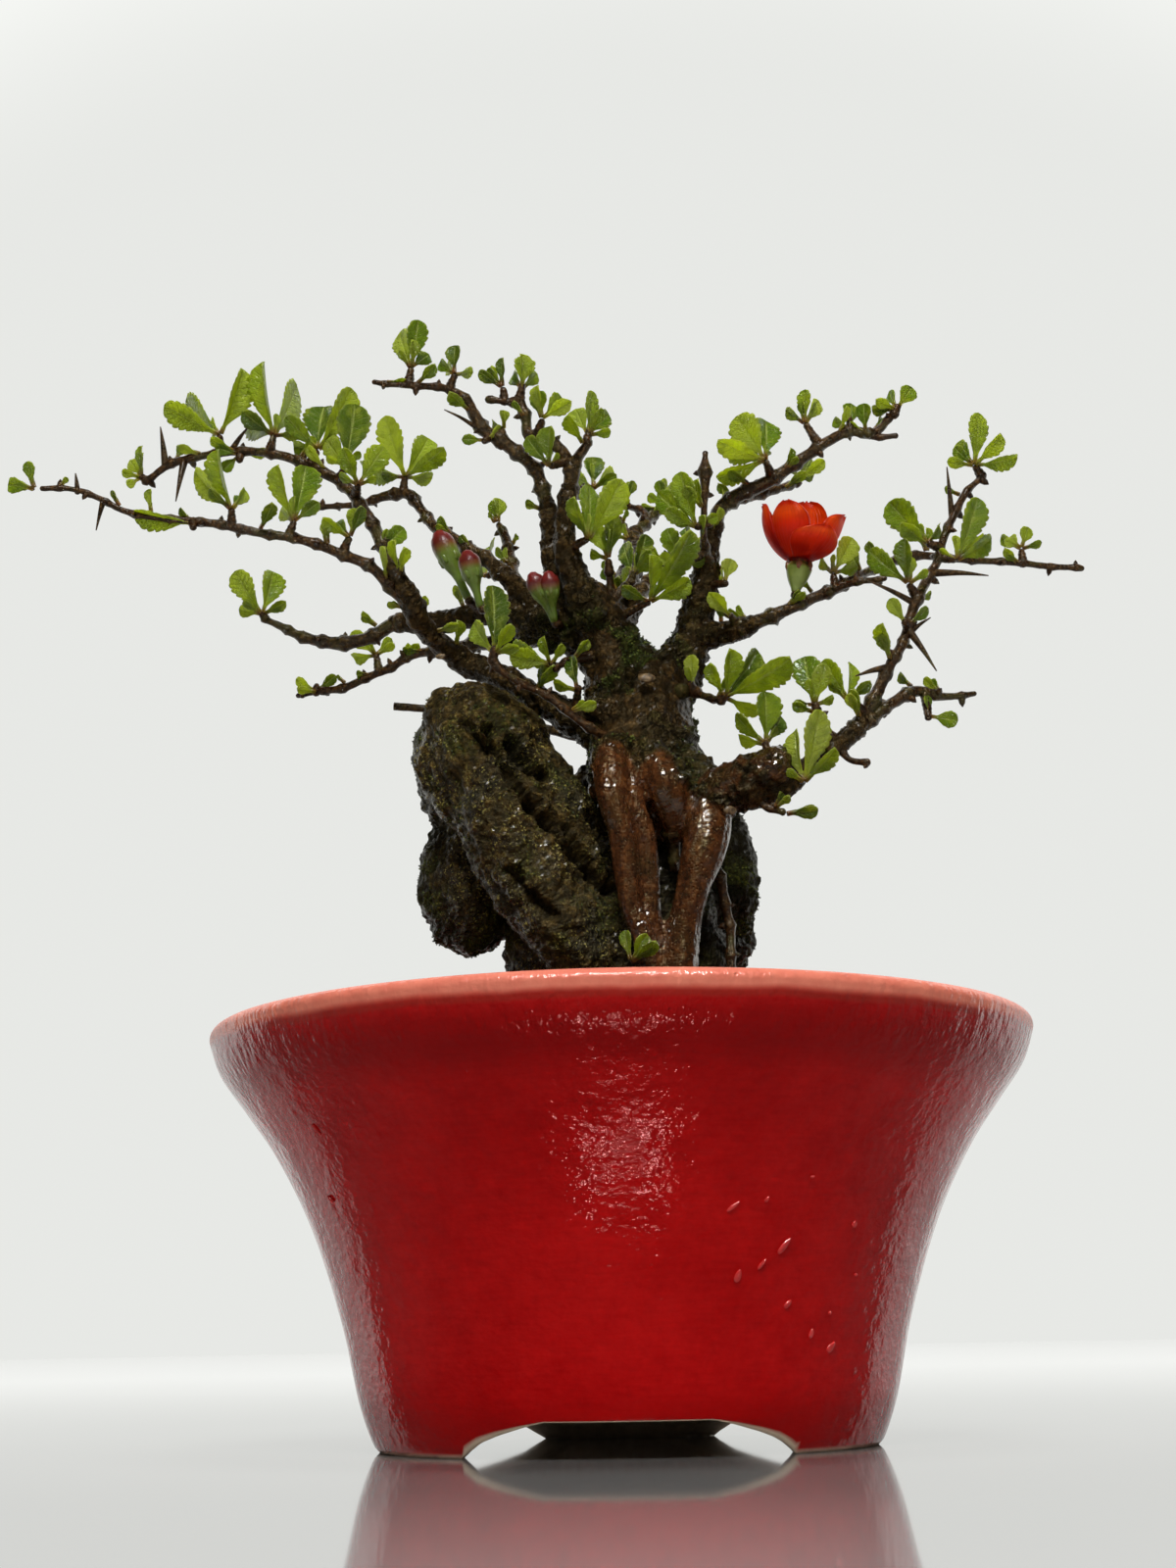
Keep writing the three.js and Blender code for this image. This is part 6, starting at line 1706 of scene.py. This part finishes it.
def bud_path(foot, top, radius):
    foot, top = np.array(foot, dtype=float), np.array(top, dtype=float)
    start = 0.66 / np.linalg.norm(top - foot)
    shares = [(start, 0.36), (0.18, 0.34), (0.3, 0.36), (0.4, 0.48), (0.48, 0.66), (0.56, 0.82), (0.64, 0.93),
              (0.73, 0.99), (0.81, 1.0), (0.87, 0.94), (0.925, 0.8), (0.965, 0.58)]
    return np.array([[*(foot + (top - foot) * share), radius * part] for share, part in shares])


def folded_tip(samples, angles):
    """Petals that overlap round the closed tip"""
    rising = smooth_step(0.45, 0.9, np.linspace(0, 1, len(samples)))[:, None]
    return 0.07 * rising * np.abs(np.sin(2.5 * angles + 2.5 * rising))


def grow_bud(batch, foot, top, radius):
    path = bud_path(foot, top, radius)
    sides = 28
    points, faces = tube(path, sides, folded_tip)
    share = np.linspace(0, 1, len(path) + 4)
    batch.add(points, faces, share=np.repeat(share, sides))
    foot, top = np.array(foot), np.array(top)
    along, normals, across = frames_along(path)
    for k in range(5):
        angle = 2 * math.pi * k / 5 + 0.4
        out = math.cos(angle) * normals[6] + math.sin(angle) * across[6]
        low = path[5, :3] + out * radius * 0.70
        sepal = [[*low, radius * 0.26], [*(low + along[5] * radius * 0.5 + out * 0.25), radius * 0.22],
                 [*(low + along[5] * radius * 0.9 + out * 0.22), radius * 0.08]]
        batch.add(*tube(sepal, 9), share=0.45)


def make_buds():
    finish = bud_skin()
    for node, (foot, top, radius) in BUDS.items():
        batch = Batch("share")
        grow_bud(batch, foot, top, radius)
        dress(batch.piece(node.replace("bud", "flower_bud"), finish), "bud_red", node)
    batch = Batch("share")
    for top in BUD_PAIR["tops"]:
        grow_bud(batch, BUD_PAIR["foot"], top, BUD_PAIR["radius"])
    dress(batch.piece("flower_bud_twins", finish), "bud_red", "bud_pair")


def make_scars():
    """Old cuts, as pale flat knots on the bark"""
    batch = Batch("share")
    for middle, radius, facing in SCARS:
        points, faces = ball((0, 0, 0), radius)
        turn = Vector(facing).to_track_quat("Z", "Y").to_matrix()
        batch.add(points * (1, 0.6, 0.3) @ np.array(turn).T + middle, faces, share=1.0)
    dress(batch.piece("cut_scars", pale_cut()), "quince_bark", "tree")


def pale_cut():
    finish = Finish("pale_cut")
    grain = finish.noise(0.6, 3)
    base = finish.ramp(grain, (0.35, colour(52, 38, 22)), (0.6, colour(124, 100, 64)))
    return finish.done(finish.surface(Base_Color=base, Roughness=0.5, Normal=finish.bump(grain, 0.2)))


def bud_skin():
    finish = Finish("bud_skin")
    share = finish.marked("share")
    fine = finish.noise(0.9, 3)
    base = finish.ramp(share, (0.0, colour(112, 84, 42)), (0.14, colour(92, 116, 36)),
                       (0.56, colour(104, 124, 42)), (0.64, colour(112, 70, 36)), (0.70, colour(92, 24, 20)),
                       (1.0, colour(120, 28, 26)))
    base = finish.blend(fine.between(0.5, 0.7) * 0.2, base, colour(104, 24, 22))
    shader = finish.surface(Base_Color=base, Roughness=0.36, Normal=finish.bump(fine, 0.14))
    return finish.done(shader)


# What is strewn by Geometry Nodes: moss and grains

TUFT_SIZES = (0.22, 0.48)
GRAIN_SIZES = (0.5, 1.0)
GRANULE_SIDES = (1.5, 1.3, 1.1)
# How many for each square millimetre, the least distance between two, and the seed
TRUNK_MOSS = (1.6, 0.45, 1)
ROCK_MOSS = (0.8, 0.6, 2)
SOIL_GRANULES = (0.42, 1.15, 3)


def strewing(name, sizes, spin_all):
    """A node tree that strews a shape over a carrier where its mark is high"""
    tree = bpy.data.node_groups.new(name, "GeometryNodeTree")
    board = Board(tree)
    inputs = {"Carrier": "NodeSocketGeometry", "Shape": "NodeSocketObject", "Density": "NodeSocketFloat",
              "Spacing": "NodeSocketFloat", "Seed": "NodeSocketInt", "Where": "NodeSocketString",
              "Finish": "NodeSocketMaterial"}
    for label, kind in inputs.items():
        tree.interface.new_socket(name=label, in_out="INPUT", socket_type=kind)
    tree.interface.new_socket(name="Strewn", in_out="OUTPUT", socket_type="NodeSocketGeometry")
    entry = tree.nodes.new("NodeGroupInput")
    given = {label: Signal(board, entry.outputs[label]) for label in inputs}
    place = board.node("GeometryNodeInputNamedAttribute", {"data_type": "FLOAT"}, {"Name": given["Where"]})
    settings = {"distribute_method": "POISSON"}
    strew = board.node("GeometryNodeDistributePointsOnFaces", settings,
                       {"Mesh": given["Carrier"], "Distance Min": given["Spacing"],
                        "Density Max": given["Density"], "Density Factor": place, "Seed": given["Seed"]})
    turn = Signal(board, strew.socket.node.outputs["Rotation"])
    shape = board.node("GeometryNodeObjectInfo", {"transform_space": "ORIGINAL"}, {"Object": given["Shape"]},
                       output=4)
    most = (math.tau,) * 3 if spin_all else (0, 0, math.tau)
    spin = board.node("FunctionNodeRandomValue", {"data_type": "FLOAT_VECTOR"},
                      {0: (0, 0, 0), 1: most, "Seed": 3})
    own_turn = board.node("FunctionNodeEulerToRotation", {}, {0: spin})
    spun = board.node("FunctionNodeRotateRotation", {"rotation_space": "LOCAL"},
                      {"Rotation": turn, "Rotate By": own_turn})
    scale = board.node("FunctionNodeRandomValue", {"data_type": "FLOAT"},
                       {2: sizes[0], 3: sizes[1], "Seed": 5}, output=1)
    laid = board.node("GeometryNodeInstanceOnPoints", {},
                      {"Points": strew, "Instance": shape, "Rotation": spun, "Scale": scale})
    tone = board.node("FunctionNodeRandomValue", {"data_type": "FLOAT"}, {"Seed": 9}, output=1)
    toned = board.node("GeometryNodeStoreNamedAttribute", {"data_type": "FLOAT", "domain": "INSTANCE"},
                       {"Geometry": laid, "Name": "tone", "Value": tone})
    real = board.node("GeometryNodeRealizeInstances", {}, {"Geometry": toned})
    made = board.node("GeometryNodeSetMaterial", {}, {"Geometry": real, "Material": given["Finish"]})
    board.node("NodeGroupOutput", {}, {"Strewn": made})
    return tree


def strew(name, carrier, shape, tree, where, finish, density, spacing, seed):
    """A plain mesh of the shape strewn over a copy of the carrier"""
    piece = bpy.data.objects.new(name, carrier.data.copy())
    bpy.context.scene.collection.objects.link(piece)
    nodes = piece.modifiers.new("strewn", "NODES")
    nodes.node_group = tree
    values = {"Shape": shape, "Density": density / (MM * MM), "Spacing": spacing * MM, "Seed": seed,
              "Where": where, "Finish": finish}
    for item in tree.interface.items_tree:
        if item.in_out == "INPUT" and item.name in values:
            nodes[item.identifier] = values[item.name]
    settle(piece)
    return piece


def loose_shape(name, points, faces):
    """A small shape about the origin, in metres, to be strewn and then thrown away"""
    mesh = bpy.data.meshes.new(name)
    mesh.from_pydata((np.asarray(points) * MM).tolist(), [], faces)
    mesh.polygons.foreach_set("use_smooth", [True] * len(mesh.polygons))
    return bpy.data.objects.new(name, mesh)


def grain_shape(seed, roundness):
    shape = bmesh.new()
    bmesh.ops.create_icosphere(shape, subdivisions=1, radius=1)
    points = np.array([v.co[:] for v in shape.verts])
    faces = [tuple(v.index for v in face.verts) for face in shape.faces]
    shape.free()
    points *= 1 + (1 - roundness) * rough(points * 3, 1.2, seed)[:, None]
    return points, faces


def tuft_shape():
    """A tuft of moss: short blades that lean out from one foot"""
    points = []
    faces = []
    for k in range(7):
        angle = k * 2.4
        lean = 0.25 + 0.09 * k
        out = np.array([math.cos(angle), math.sin(angle)])
        side = np.array([-out[1], out[0]]) * 0.22
        height = 1.25 - 0.07 * k
        start = len(points)
        points += [[*side, 0], [*(-side), 0], [*(out * 0.25), 0], [*(out * lean * height), height]]
        faces += [(start, start + 3, start + 1), (start + 1, start + 3, start + 2),
                  (start + 2, start + 3, start), (start, start + 1, start + 2)]
    return np.array(points), faces


def moss_green():
    finish = Finish("moss_green")
    tone = finish.marked("tone")
    base = finish.ramp(tone, (0.0, colour(30, 42, 12)), (0.5, colour(68, 86, 24)),
                       (1.0, colour(124, 132, 46)))
    fine = finish.noise(0.5, 2)
    base = finish.blend(fine.between(0.5, 0.7) * 0.3, base, colour(40, 36, 14))
    return finish.done(finish.surface(Base_Color=base, Roughness=0.7, Normal=finish.bump(fine, 0.05)))


def strew_everything(skin, rock, bed):
    tufts = strewing("tufts", TUFT_SIZES, spin_all=False)
    grains = strewing("grains", GRAIN_SIZES, spin_all=True)
    tuft = loose_shape("tuft", *tuft_shape())
    points, faces = grain_shape(3, 0.55)
    granule = loose_shape("granule", points * GRANULE_SIDES, faces)
    moss = moss_green()
    on_trunk = strew("trunk_moss", skin, tuft, tufts, "moss", moss, *TRUNK_MOSS)
    dress(on_trunk, "quince_bark", "tree")
    on_rock = strew("rock_moss", rock, tuft, tufts, "moss", moss, *ROCK_MOSS)
    dress(on_rock, "dark_rock", "rock")
    up = normals_of(bed.data)[:, 2]
    mark(bed.data, "open", smooth_step(0.5, 0.8, up))
    on_soil = strew("soil_granules", bed, granule, grains, "open", baked_soil(), *SOIL_GRANULES)
    dress(on_soil, "akadama_soil", "soil")


aim_camera()
light_the_scene()
make_floor()
finish_drain_mesh()
make_pot()
make_glaze_beads()
wood_skin = make_wood_skin()
make_twigs()
make_scars()
craggy_rock = make_rock()
soil_bed = make_soil()
make_leaves()
make_petals()
make_calyx()
make_stamens()
make_buds()
strew_everything(wood_skin, craggy_rock, soil_bed)
